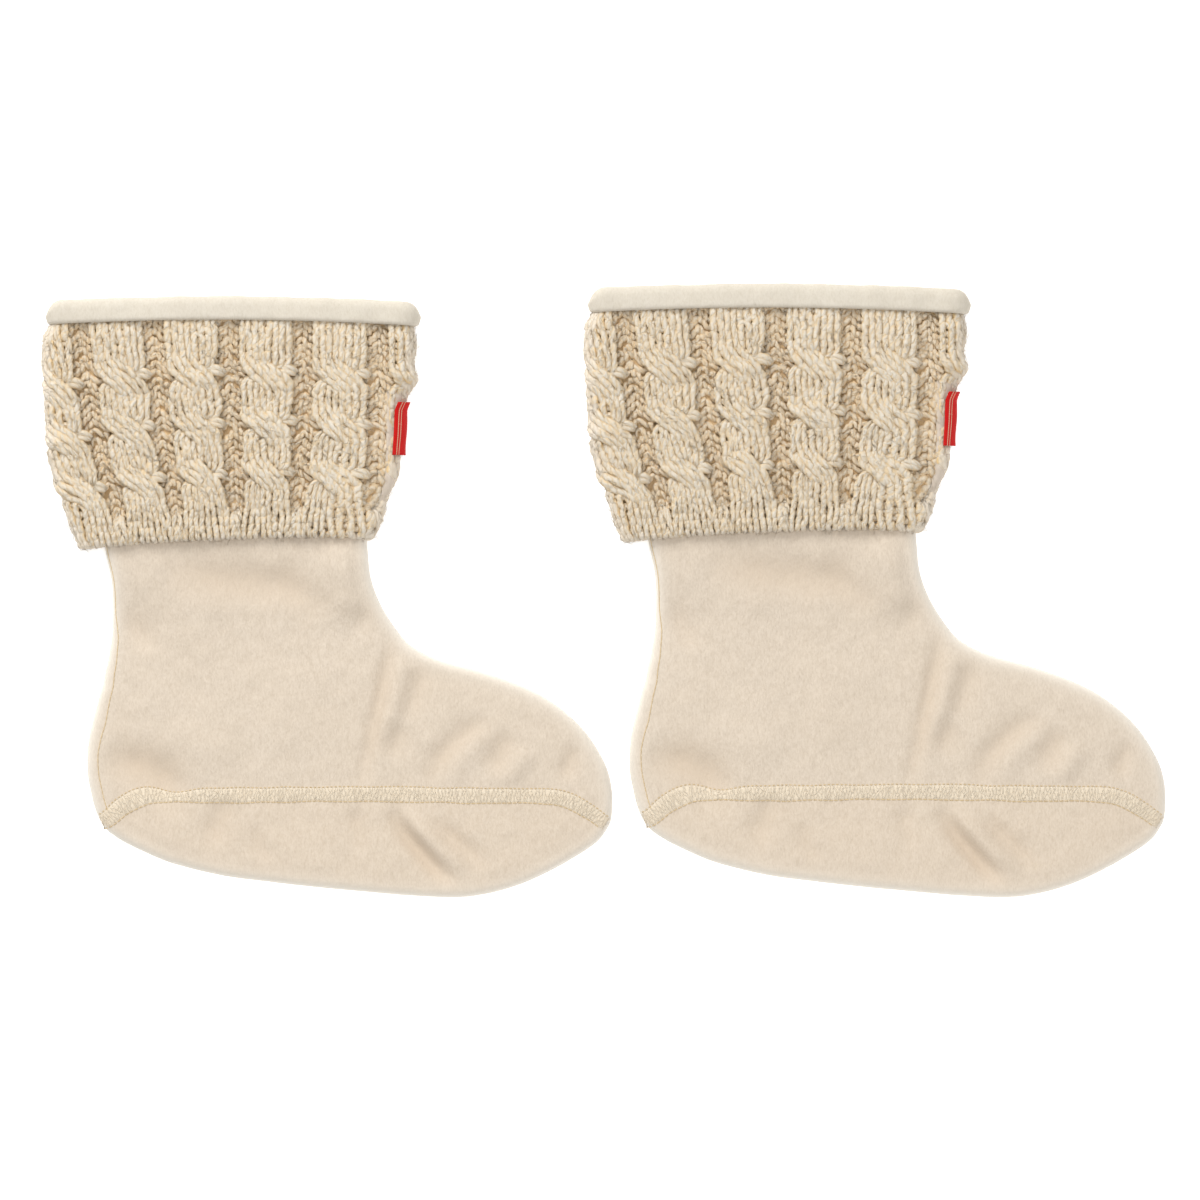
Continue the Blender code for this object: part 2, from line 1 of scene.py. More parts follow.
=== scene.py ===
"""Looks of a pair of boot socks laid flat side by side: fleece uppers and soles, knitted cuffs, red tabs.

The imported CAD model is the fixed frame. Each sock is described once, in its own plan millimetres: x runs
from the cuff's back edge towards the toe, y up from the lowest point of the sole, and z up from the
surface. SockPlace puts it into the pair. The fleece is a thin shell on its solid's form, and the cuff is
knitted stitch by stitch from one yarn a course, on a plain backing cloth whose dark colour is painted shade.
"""

import logging
import math
from dataclasses import dataclass, field
from enum import Enum
from typing import Callable, Sequence

import bpy
import numpy as np
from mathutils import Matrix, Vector


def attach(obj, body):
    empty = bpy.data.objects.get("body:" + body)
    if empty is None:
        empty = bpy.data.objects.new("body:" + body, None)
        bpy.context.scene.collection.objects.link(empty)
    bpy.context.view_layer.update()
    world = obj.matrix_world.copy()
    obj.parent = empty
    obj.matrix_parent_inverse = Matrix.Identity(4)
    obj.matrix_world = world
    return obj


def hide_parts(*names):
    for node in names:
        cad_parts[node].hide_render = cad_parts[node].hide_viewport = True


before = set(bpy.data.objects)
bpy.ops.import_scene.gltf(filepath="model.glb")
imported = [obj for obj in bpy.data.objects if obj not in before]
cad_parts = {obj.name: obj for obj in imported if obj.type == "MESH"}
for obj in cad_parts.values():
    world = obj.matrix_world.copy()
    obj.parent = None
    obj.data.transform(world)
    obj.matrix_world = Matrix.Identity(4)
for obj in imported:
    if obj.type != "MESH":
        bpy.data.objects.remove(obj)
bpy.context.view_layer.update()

LOG = logging.getLogger("boot_socks")
BODY = "root"
MM = 0.001
TEXTURE_PLACES = "yarn"
FOLD_ANGLES = tuple(range(90, -91, -15))

Curve = Callable[[np.ndarray], np.ndarray]


def smoothstep(low: float, high: float, value: np.ndarray) -> np.ndarray:
    """Eases from 0 at low to 1 at high.

    Args:
        low: Value at which the result is 0.
        high: Value at which the result is 1.
        value: Values to ease.

    Returns:
        The eased shares.
    """
    share = np.clip((np.asarray(value, float) - low) / (high - low), 0.0, 1.0)
    return share * share * (3.0 - 2.0 * share)


def smooth_curve(points: Sequence[tuple[float, float]], spacing: float) -> np.ndarray:
    """Reads a smooth plan curve through given points.

    Args:
        points: The points that the curve passes through.
        spacing: Distance between samples, in millimetres.

    Returns:
        The samples, one row each.
    """
    known = [np.array(p, float) for p in points]
    ends = [2 * known[0] - known[1]] + known + [2 * known[-1] - known[-2]]
    samples = []
    for before, start, stop, after in zip(ends, ends[1:], ends[2:], ends[3:]):
        count = max(2, int(np.linalg.norm(stop - start) / spacing))
        for share in np.arange(count) / count:
            square, cube = share ** 2, share ** 3
            samples.append(0.5 * (2 * start + (stop - before) * share
                                  + (2 * before - 5 * start + 4 * stop - after) * square
                                  + (3 * start - before - 3 * stop + after) * cube))
    samples.append(known[-1])
    return np.array(samples)


def distances(line: np.ndarray) -> np.ndarray:
    """Distance travelled along a line at each of its points."""
    steps = np.linalg.norm(np.diff(line, axis=0), axis=1)
    return np.concatenate([[0.0], np.cumsum(steps)])


def read_line(line: np.ndarray, travelled: np.ndarray, at: np.ndarray) -> np.ndarray:
    """Reads plan points off a line.

    Args:
        line: The line's points.
        travelled: Distance along the line at each of them.
        at: Distances at which it is read.

    Returns:
        One plan point per distance, x and y in the last axis.
    """
    return np.stack([np.interp(at, travelled, line[:, i]) for i in (0, 1)], -1)


def soft_noise(points: np.ndarray, size: float, seed: int, stretch: float = 1.0) -> np.ndarray:
    """A smooth random field, made of plane waves with seeded directions.

    Args:
        points: Plan points in millimetres.
        size: Typical distance between two bumps, in millimetres.
        seed: Seed of the random directions.
        stretch: How much longer the bumps are along y than along x.

    Returns:
        One value per point, mostly between -1 and 1.
    """
    waves = 14
    random = np.random.default_rng(seed)
    turn = random.uniform(0.0, 2.0 * math.pi, waves)
    pace = 2.0 * math.pi / size * random.uniform(0.6, 1.4, waves)
    phase = random.uniform(0.0, 2.0 * math.pi, waves)
    along = np.outer(points[..., 0].ravel(), np.cos(turn) * pace)
    along += np.outer(points[..., 1].ravel() / stretch, np.sin(turn) * pace)
    total = np.sin(along + phase).sum(1) / math.sqrt(waves)
    return total.reshape(points.shape[:-1])


class Layer(Enum):
    """The two layers of a flattened tube of cloth."""

    TOP = 1
    UNDER = -1


@dataclass(frozen=True)
class SockPlace:
    """Where one sock of the pair lies, in millimetres, and how far it is spread."""

    name: str
    x: float
    y: float
    spread: float

    def world(self, local: np.ndarray) -> np.ndarray:
        """Turns points in the sock's own millimetres into metres in the frame.

        Args:
            local: Points with x, y and z in the last axis.

        Returns:
            The same points in the frame.
        """
        placed = np.array(local, float)
        placed[..., 0] = self.x + placed[..., 0] * self.spread
        placed[..., 1] = self.y + placed[..., 1] * self.spread
        return placed * MM


@dataclass(frozen=True)
class Crease:
    """A soft ridge, or trough where its height is negative, pressed into the fleece by hand."""

    start: tuple[float, float]
    stop: tuple[float, float]
    half_width: float
    height: float
    layer: Layer = Layer.TOP
    bend: float = 0.0

    def relief(self, points: np.ndarray) -> np.ndarray:
        """Height that the crease adds at each plan point.

        Args:
            points: Plan points in the sock's own millimetres.

        Returns:
            One height per point, in millimetres.
        """
        start, stop = np.array(self.start), np.array(self.stop)
        along = stop - start
        length = float(np.hypot(*along))
        across = np.array((-along[1], along[0])) / length
        share = ((points - start) @ along) / length ** 2
        sideways = (points - start) @ across - self.bend * 4.0 * share * (1.0 - share)
        beyond = np.maximum(np.abs(share - 0.5) - 0.5, 0.0) * length
        fade = smoothstep(-0.3, 0.35, share) * smoothstep(1.3, 0.65, share)
        return self.height * fade * np.exp(-(sideways ** 2 + beyond ** 2) / self.half_width ** 2)


@dataclass
class SockForm:
    """The flattened sock that every piece follows: its outline, seams, layers, creases and cuff."""

    fleece: float = 2.6
    leg_t: float = 3.25
    band_t: float = 6.95
    knit_under: float = 3.4
    seam_gap: float = 0.3
    seam_inset: float = 4.3
    mouth_y: float = 215.6
    band_depth: float = 7.6
    hem_y: float = 129.5
    lift_top: float = 124.0
    lift_foot: float = 93.0
    foot_row_y: float = 68.4
    dome_rise: float = 1.1
    dome_reach: float = 14.0
    leg_top: tuple[float, float, float] = (245.0, 0.4, 137.4)
    leg_edges: tuple[tuple[float, float, float], ...] = (
        (134.0, 21.0, 116.6), (124.6, 22.7, 117.2), (114.5, 24.8, 118.4), (104.4, 25.2, 122.4),
        (94.3, 24.8, 129.2), (90.0, 24.1, 133.9), (85.7, 23.4, 142.9), (81.4, 22.3, 158.4),
        (77.0, 21.6, 171.0), (72.7, 20.2, 180.0), (68.4, 19.1, 186.4), (64.1, 18.0, 191.5),
        (59.8, 16.9, 195.5), (55.4, 16.2, 198.7), (51.1, 15.8, 201.2), (46.8, 15.8, 203.3),
        (42.5, 16.2, 204.5), (38.2, 17.1, 205.2), (33.8, 18.1, 205.3), (29.5, 19.6, 205.1),
        (26.4, 21.2, 204.4),
    )
    bottom_edge: tuple[tuple[float, float], ...] = (
        (21.2, 26.4), (23.4, 23.9), (28.1, 20.6), (36.0, 16.6), (46.8, 12.2), (64.4, 7.9), (79.9, 5.8),
        (97.2, 3.8), (114.5, 2.2), (131.8, 0.7), (149.0, 0.0), (160.6, 1.4), (172.1, 4.7), (183.6, 9.9),
        (195.1, 16.6), (200.9, 21.1), (204.4, 26.4),
    )
    sole_seam: tuple[tuple[float, float], ...] = (
        (15.0, 26.2), (21.2, 27.4), (24.2, 29.0), (29.2, 33.3), (37.1, 36.9), (46.4, 37.2), (66.2, 36.9),
        (99.7, 37.3), (126.4, 37.3), (153.0, 36.8), (179.6, 36.6), (189.0, 35.2), (196.9, 31.0),
        (200.9, 28.2), (204.2, 25.6), (210.0, 21.0),
    )
    band_bow: tuple[float, float, float] = (-1.9, 0.0, -2.3)
    cuff_width: float = 134.8
    # How far in from the sock's edge the painted rim highlight reaches, in millimetres
    rim_highlight_reach: float = 1.9
    # Trough depth, in millimetres, at which the painted fold shade is full
    fold_shade_depth: float = 4.6
    # Height, size and seed of each soft swell of the slack cloth
    swells: tuple[tuple[float, float, int], ...] = ((0.16, 26.0, 11), (0.09, 11.0, 12), (0.035, 4.6, 13))
    pucker_height: float = 0.12
    pucker_reach: float = 6.0
    pucker_pace: float = 0.85
    under_swell: float = 0.12
    outline_step: float = 1.5
    seam_step: float = 1.0
    creases: tuple[Crease, ...] = (
        Crease((125.5, 91.0), (115.0, 43.6), 2.9, -1.8, bend=0.5),
        Crease((131.5, 88.0), (120.0, 52.0), 4.2, 1.8, bend=0.8),
        Crease((137.0, 84.5), (131.0, 66.0), 4.6, -1.1, bend=0.6),
        Crease((129.0, 62.0), (124.0, 52.0), 4.8, -1.2, bend=0.6),
        Crease((158.8, 63.0), (139.0, 43.0), 4.2, -1.8, bend=-2.3),
        Crease((164.0, 62.0), (147.0, 46.0), 5.5, 1.3, bend=-1.5),
        Crease((167.0, 59.0), (162.0, 46.0), 4.4, -1.5, bend=0.6),
        Crease((174.0, 53.0), (167.5, 42.0), 4.2, 1.3),
        Crease((191.5, 54.0), (188.0, 43.0), 3.8, -1.4),
        Crease((126.5, 29.0), (146.0, 6.5), 3.2, -2.9, bend=-1.0),
        Crease((132.0, 30.0), (150.0, 11.0), 3.4, 2.0, bend=-0.6),
        Crease((142.0, 27.0), (158.0, 12.5), 3.2, -1.6),
        Crease((66.0, 34.0), (60.0, 20.0), 4.0, -1.2),
        Crease((76.0, 25.0), (80.5, 14.0), 3.0, -0.8),
        Crease((112.0, 31.0), (115.0, 19.0), 3.0, -0.9),
        Crease((26.0, 50.5), (49.0, 38.0), 7.5, -2.9, bend=2.0),
        Crease((48.0, 62.0), (66.0, 49.0), 9.0, 1.0),
        Crease((107.0, 126.0), (110.0, 102.0), 7.0, 1.6),
        Crease((86.0, 118.0), (102.0, 104.0), 6.0, -1.3, bend=-1.5),
        Crease((48.0, 116.5), (90.0, 112.5), 7.5, -2.3),
        Crease((121.0, 106.0), (113.5, 97.5), 3.8, -0.7),
        Crease((31.0, 103.0), (38.0, 90.0), 4.5, -1.0),
        Crease((54.0, 118.0), (60.0, 84.0), 9.0, 0.8),
        Crease((92.0, 84.0), (85.0, 56.0), 10.0, 0.8),
        Crease((118.0, 84.0), (108.0, 50.0), 3.6, 1.5, Layer.UNDER),
        Crease((150.0, 66.0), (140.0, 46.0), 3.4, 1.2, Layer.UNDER),
        Crease((70.0, 118.0), (60.0, 92.0), 4.5, 1.2, Layer.UNDER),
        Crease((172.0, 56.0), (164.0, 44.0), 3.4, 1.0, Layer.UNDER),
        Crease((96.0, 28.0), (110.0, 12.0), 3.2, 0.9, Layer.UNDER),
    )
    map_step: float = 0.5
    map_low: tuple[float, float] = (-14.0, -8.0)
    map_high: tuple[float, float] = (222.0, 252.0)
    back_line: np.ndarray = field(init=False)
    seam_line: np.ndarray = field(init=False)
    bottom_line: np.ndarray = field(init=False)
    depth_map: np.ndarray = field(init=False)

    def __post_init__(self) -> None:
        """Draws the outline and measures the distance to it over the whole plan."""
        height, back, front = self.leg_top
        back_line = smooth_curve([(b, h) for h, b, f in self.leg_edges], self.outline_step)
        front_line = smooth_curve([(f, h) for h, b, f in self.leg_edges], self.outline_step)
        self.back_line = np.vstack([(back, height), back_line])
        self.bottom_line = smooth_curve(self.bottom_edge, self.outline_step)
        self.seam_line = smooth_curve(self.sole_seam, self.seam_step)
        outline = np.vstack([self.back_line, self.bottom_line[1:-1], front_line[::-1], (front, height)])
        xs = np.arange(self.map_low[0], self.map_high[0], self.map_step)
        ys = np.arange(self.map_low[1], self.map_high[1], self.map_step)
        rows = [np.column_stack([xs, np.full(len(xs), y)]) for y in ys]
        self.depth_map = np.array([self.measure(row, outline) for row in rows])

    @staticmethod
    def measure(points: np.ndarray, outline: np.ndarray) -> np.ndarray:
        """Distance of each point from the outline, negative outside it.

        Args:
            points: Plan points.
            outline: The outline's corners, open at the top.

        Returns:
            One distance per point.
        """
        start, stop = outline[:-1], outline[1:]
        along = stop - start
        to_point = points[:, None, :] - start[None]
        share = np.clip((to_point * along).sum(2) / (along ** 2).sum(1), 0.0, 1.0)
        gap = to_point - share[..., None] * along
        distance = np.sqrt((gap ** 2).sum(2)).min(1)
        crosses = (start[:, 1] > points[:, 1:2]) != (stop[:, 1] > points[:, 1:2])
        rise = np.where(along[:, 1] == 0, 1e-9, along[:, 1])
        at_x = start[:, 0] + (points[:, 1:2] - start[:, 1]) / rise * along[:, 0]
        inside = ((at_x > points[:, :1]) & crosses).sum(1) % 2 == 1
        return np.where(inside, distance, -distance)

    def depth(self, points: np.ndarray) -> np.ndarray:
        """Reads the distance from the sock's edge at plan points.

        Args:
            points: Plan points, x and y in the last axis.

        Returns:
            One distance per point, negative outside the outline.
        """
        rows, columns = self.depth_map.shape
        across = np.clip((points[..., 0] - self.map_low[0]) / self.map_step, 0, columns - 1.001)
        up = np.clip((points[..., 1] - self.map_low[1]) / self.map_step, 0, rows - 1.001)
        i, j = up.astype(int), across.astype(int)
        u, v = up - i, across - j
        grid = self.depth_map
        return ((1 - u) * (1 - v) * grid[i, j] + (1 - u) * v * grid[i, j + 1]
                + u * (1 - v) * grid[i + 1, j] + u * v * grid[i + 1, j + 1])

    def seam_height(self, x: np.ndarray) -> np.ndarray:
        """Height of the sole seam above the sole's lowest point."""
        return np.interp(x, self.seam_line[:, 0], self.seam_line[:, 1])

    def seam_shift(self, x: np.ndarray, offset: float) -> np.ndarray:
        """Height at x of a line that runs beside the sole seam.

        Args:
            x: Places along the foot.
            offset: Distance from the seam, up the foot where positive.

        Returns:
            One height per place.
        """
        slope = self.seam_height(np.asarray(x) + 0.5) - self.seam_height(np.asarray(x) - 0.5)
        return self.seam_height(x) + offset * np.sqrt(1.0 + slope ** 2)

    def bow(self, heights: tuple[float, float, float], x: np.ndarray) -> np.ndarray:
        """Reads a gently bowed edge of the cuff.

        Args:
            heights: Its heights at the back, middle and front.
            x: Places across the cuff.

        Returns:
            One height per place.
        """
        back, middle, front = heights
        share = np.clip(np.asarray(x, float) / self.cuff_width, 0.0, 1.0)
        return (back * (1 - share) * (1 - 2 * share) + 4 * middle * share * (1 - share)
                + front * share * (2 * share - 1))

    def lift(self, y: np.ndarray) -> np.ndarray:
        """How far the leg's lower face stands off the surface."""
        return (self.knit_under + self.seam_gap) * smoothstep(self.lift_foot, self.lift_top, y)

    def relief(self, points: np.ndarray, layer: Layer) -> np.ndarray:
        """Adds up the dome, the creases, the puckers at the seams and a slack cloth's soft swell.

        Args:
            points: Plan points.
            layer: The layer that the face belongs to.

        Returns:
            Outward height per point, in millimetres. Underneath it is how far the cloth lifts off the
            surface.
        """
        depth = self.depth(points)
        total = np.zeros(points.shape[:-1])
        for crease in self.creases:
            if crease.layer is layer:
                total += crease.relief(points)
        below_cuff = smoothstep(self.lift_top + 6.0, self.lift_foot + 8.0, points[..., 1])
        to_seam = np.abs(points[..., 1] - self.seam_height(points[..., 0]))
        wander = 1.6 * soft_noise(points, 30.0, 5)
        pucker = np.sin(points[..., 0] * self.pucker_pace + wander) * np.exp(-to_seam / self.pucker_reach)
        if layer is Layer.TOP:
            total += self.dome_rise * (1.0 - np.exp(-np.maximum(depth, 0.0) / self.dome_reach)) * below_cuff
            swell = sum(height * soft_noise(points, size, seed) for height, size, seed in self.swells)
            total += swell + self.pucker_height * pucker
        else:
            total += self.under_swell * (1.0 + soft_noise(points, 22.0, 21)) + 0.05 * np.abs(pucker)
        return total * smoothstep(self.leg_t * 0.6, self.leg_t * 2.6, depth)

    def highlight_and_shade_places(self, points: np.ndarray, quads: np.ndarray) -> np.ndarray:
        """Texture places of cloth faces: how near the sock's edge each corner is, for a painted rim
        highlight, and how deep in a fold, for painted shade.

        Args:
            points: Corners, x and y first.
            quads: Four corner numbers a face.

        Returns:
            One pair per face corner: from 0 well inside to 1 at the edge, and from 0 to 1 in the deepest
            fold.
        """
        plan = points[..., :2].reshape(-1, 2)
        # Mask of the painted rim highlight: 1 at the sock's edge, fading inwards, none on the band
        near = np.exp(-np.maximum(self.depth(plan), 0.0) / self.rim_highlight_reach)
        near = near * smoothstep(self.band_depth, 0.0, points[..., 1].ravel() - self.hem_y)
        # Mask of the painted fold shade: how deep the troughs of the top layer's creases are
        fold_shade = sum(crease.relief(plan) for crease in self.creases
                     if crease.layer is Layer.TOP and crease.height < 0.0)
        on_top = smoothstep(0.0, self.leg_t, points[..., 2].ravel())
        fold_shade = np.clip(-fold_shade / self.fold_shade_depth, 0.0, 1.0) * on_top
        return np.stack([near[quads], fold_shade[quads]], -1).reshape(-1, 2)

    def face(self, points: np.ndarray, layer: Layer) -> np.ndarray:
        """Lifts plan points onto the leg's or foot's outer face.

        Args:
            points: Plan points inside the outline.
            layer: The layer whose face is meant.

        Returns:
            Points with x, y and z.
        """
        depth = self.depth(points)
        cosine = np.clip((self.leg_t - depth) / self.leg_t, 0.0, 1.0)
        half = self.leg_t * np.sqrt(1.0 - cosine ** 2)
        middle = self.lift(points[..., 1]) + self.leg_t
        relief = self.relief(points, layer)
        if layer is Layer.TOP:
            z = middle + half + relief
        else:
            z = np.maximum(middle - half + relief, 0.0)
        return np.concatenate([points, z[..., None]], axis=-1)


@dataclass
class MeshMaker:
    """Turns rows of points into named pieces that ride on the frame."""

    place: SockPlace

    def piece(self, name: str, vertices: np.ndarray, quads: np.ndarray, uvs: np.ndarray | None,
              materials: Sequence[bpy.types.Material], slot: str) -> bpy.types.Object:
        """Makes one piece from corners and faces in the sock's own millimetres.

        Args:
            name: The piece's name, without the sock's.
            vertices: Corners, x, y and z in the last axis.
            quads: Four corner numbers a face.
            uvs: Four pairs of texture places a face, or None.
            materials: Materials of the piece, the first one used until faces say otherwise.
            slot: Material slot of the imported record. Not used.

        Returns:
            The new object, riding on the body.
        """
        corners = self.place.world(vertices.reshape(-1, 3))
        corners[:, 2] = np.maximum(corners[:, 2], 0.0)
        mesh = bpy.data.meshes.new(name)
        mesh.vertices.add(len(corners))
        mesh.vertices.foreach_set("co", corners.astype(np.float32).ravel())
        mesh.loops.add(quads.size)
        mesh.loops.foreach_set("vertex_index", quads.astype(np.int32).ravel())
        mesh.polygons.add(len(quads))
        mesh.polygons.foreach_set("loop_start", np.arange(0, quads.size, 4, dtype=np.int32))
        mesh.update(calc_edges=True)
        if uvs is not None:
            layer = mesh.uv_layers.new(name=TEXTURE_PLACES)
            layer.data.foreach_set("uv", uvs.astype(np.float32).ravel())
        mesh.validate()
        mesh.shade_smooth()
        for material in materials:
            mesh.materials.append(material)
        made = bpy.data.objects.new(f"{self.place.name}_{name}", mesh)
        bpy.context.scene.collection.objects.link(made)
        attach(made, BODY)
        return made

    @staticmethod
    def sheet_quads(rows: int, columns: int, closed: bool = False, turned: bool = False) -> np.ndarray:
        """Faces of a sheet of rows and columns of corners.

        Args:
            rows: Number of rows.
            columns: Number of corners in a row.
            closed: Whether each row's last corner joins its first.
            turned: Whether the faces look the other way.

        Returns:
            Four corner numbers a face.
        """
        here = np.arange(rows - 1)[:, None] * columns
        below = here + columns
        j = np.arange(columns if closed else columns - 1)[None, :]
        after = (j + 1) % columns
        quads = np.stack([here + j, here + after, below + after, below + j], -1).reshape(-1, 4)
        return quads[:, ::-1] if turned else quads

    @staticmethod
    def tubes(centres: np.ndarray, normals: np.ndarray, radii: np.ndarray, sides: int,
              flatness: float = 1.0) -> tuple[np.ndarray, np.ndarray, np.ndarray]:
        """Sweeps round yarns along rows of centres.

        Args:
            centres: Rows of points, one row a yarn.
            normals: Direction off the cloth at each point.
            radii: Radius at each point.
            sides: Number of sides of the yarn.
            flatness: Height of the yarn's section against its width.

        Returns:
            Corners, faces and the faces' texture places: length in millimetres, and share of the way round,
            with the outer side at one half.
        """
        yarns, count = centres.shape[:2]
        along = np.gradient(centres, axis=1)
        along /= np.linalg.norm(along, axis=-1, keepdims=True) + 1e-9
        sideways = np.cross(along, normals)
        sideways /= np.linalg.norm(sideways, axis=-1, keepdims=True) + 1e-9
        out = np.cross(sideways, along)
        turn = 2.0 * math.pi * np.arange(sides) / sides - math.pi / 2
        ring = (np.cos(turn)[:, None] * sideways[:, :, None, :]
                + flatness * np.sin(turn)[:, None] * out[:, :, None, :])
        corners = centres[:, :, None, :] + radii[:, :, None, None] * ring
        yarn = np.arange(yarns)[:, None, None]
        i = np.arange(count - 1)[None, :, None]
        k = np.arange(sides)[None, None, :]
        here, there = yarn * count * sides + i * sides, yarn * count * sides + (i + 1) * sides
        after = (k + 1) % sides
        quads = np.broadcast_arrays(here + k, there + k, there + after, here + after)
        quads = np.stack(quads, -1).reshape(-1, 4)
        steps = np.linalg.norm(np.diff(centres, axis=1), axis=-1)
        travelled = np.concatenate([np.zeros((yarns, 1)), np.cumsum(steps, axis=1)], axis=1)
        u0, u1, v0, v1 = np.broadcast_arrays(travelled[:, :-1, None], travelled[:, 1:, None],
                                             k / sides, (k + 1) / sides)
        uvs = np.stack([np.stack(pair, -1) for pair in ((u0, v0), (u1, v0), (u1, v1), (u0, v1))], -2)
        return corners.reshape(-1, 3), quads, uvs.reshape(-1, 2)

    @staticmethod
    def joined(parts: Sequence[tuple[np.ndarray, np.ndarray, np.ndarray]]
               ) -> tuple[np.ndarray, np.ndarray, np.ndarray]:
        """Joins several lots of corners, faces and texture places into one.

        Args:
            parts: The lots.

        Returns:
            The joined corners, faces and texture places.
        """
        starts = np.cumsum([0] + [len(corners) for corners, _, _ in parts[:-1]])
        corners, quads, uvs = zip(*parts)
        return np.vstack(corners), np.vstack([faces + n for faces, n in zip(quads, starts)]), np.vstack(uvs)


class NodeKit:
    """Short calls that place and wire shader nodes in one tree."""

    def __init__(self, tree: bpy.types.NodeTree) -> None:
        """Starts on a node tree."""
        self.tree = tree

    def node(self, kind: str, **settings: object) -> bpy.types.Node:
        """Places a node and sets its properties.

        Args:
            kind: Blender's name of the node.
            **settings: Properties to set.

        Returns:
            The node.
        """
        made = self.tree.nodes.new(kind)
        for name, value in settings.items():
            setattr(made, name, value)
        return made

    def feed(self, socket: bpy.types.NodeSocket, value: object) -> None:
        """Links a socket to an output, or sets it to a plain value.

        Args:
            socket: The input.
            value: An output socket, a number or a colour.
        """
        if isinstance(value, bpy.types.NodeSocket):
            self.tree.links.new(value, socket)
        elif isinstance(value, tuple) and len(value) == 3 and len(socket.default_value) == 4:
            socket.default_value = (*value, 1.0)
        else:
            socket.default_value = value

    def math(self, operation: str, *values: object) -> bpy.types.NodeSocket:
        """Works out one step of arithmetic.

        Args:
            operation: Name of the step.
            *values: Its inputs, in order.

        Returns:
            The result.
        """
        made = self.node("ShaderNodeMath", operation=operation)
        for socket, value in zip(made.inputs, values):
            self.feed(socket, value)
        return made.outputs[0]

    def noise(self, vector: bpy.types.NodeSocket, scale: object, detail: float, roughness: float = 0.5
              ) -> bpy.types.NodeSocket:
        """Reads a noise's value.

        Args:
            vector: Where it is read.
            scale: Bumps per unit.
            detail: Number of finer layers.
            roughness: Strength of the finer layers.

        Returns:
            The noise, about 0.5 in the middle.
        """
        made = self.node("ShaderNodeTexNoise")
        self.feed(made.inputs["Vector"], vector)
        self.feed(made.inputs["Scale"], scale)
        self.feed(made.inputs["Detail"], detail)
        self.feed(made.inputs["Roughness"], roughness)
        return made.outputs["Fac"]

    def mix(self, share: object, first: object, second: object) -> bpy.types.NodeSocket:
        """Mixes two colours.

        Args:
            share: How much of the second.
            first: First colour.
            second: Second colour.

        Returns:
            The mixed colour.
        """
        made = self.node("ShaderNodeMix", data_type="RGBA")
        self.feed(made.inputs[0], share)
        self.feed(made.inputs[6], first)
        self.feed(made.inputs[7], second)
        return made.outputs[2]

    def spread(self, value: object, low: float, high: float, to_low: float = 0.0, to_high: float = 1.0
               ) -> bpy.types.NodeSocket:
        """Maps a range onto another and clamps it.

        Args:
            value: What is mapped.
            low: Start of its range.
            high: End of its range.
            to_low: Result at low.
            to_high: Result at high.

        Returns:
            The mapped value.
        """
        made = self.node("ShaderNodeMapRange")
        for number, each in enumerate((value, low, high, to_low, to_high)):
            self.feed(made.inputs[number], each)
        return made.outputs[0]

    def bump(self, height: bpy.types.NodeSocket, strength: float, distance: float) -> bpy.types.NodeSocket:
        """Turns a height into a bumped normal.

        Args:
            height: Height over the surface.
            strength: How strong the bump is.
            distance: Height of a full step, in metres.

        Returns:
            The new normal.
        """
        made = self.node("ShaderNodeBump")
        self.feed(made.inputs["Height"], height)
        self.feed(made.inputs["Strength"], strength)
        self.feed(made.inputs["Distance"], distance)
        return made.outputs["Normal"]


def new_material(name: str) -> tuple[bpy.types.Material, NodeKit, bpy.types.Node]:
    """Starts a material, and returns it with a kit for its nodes and with its shader."""
    made = bpy.data.materials.new(name)
    made.use_nodes = True
    return made, NodeKit(made.node_tree), made.node_tree.nodes["Principled BSDF"]


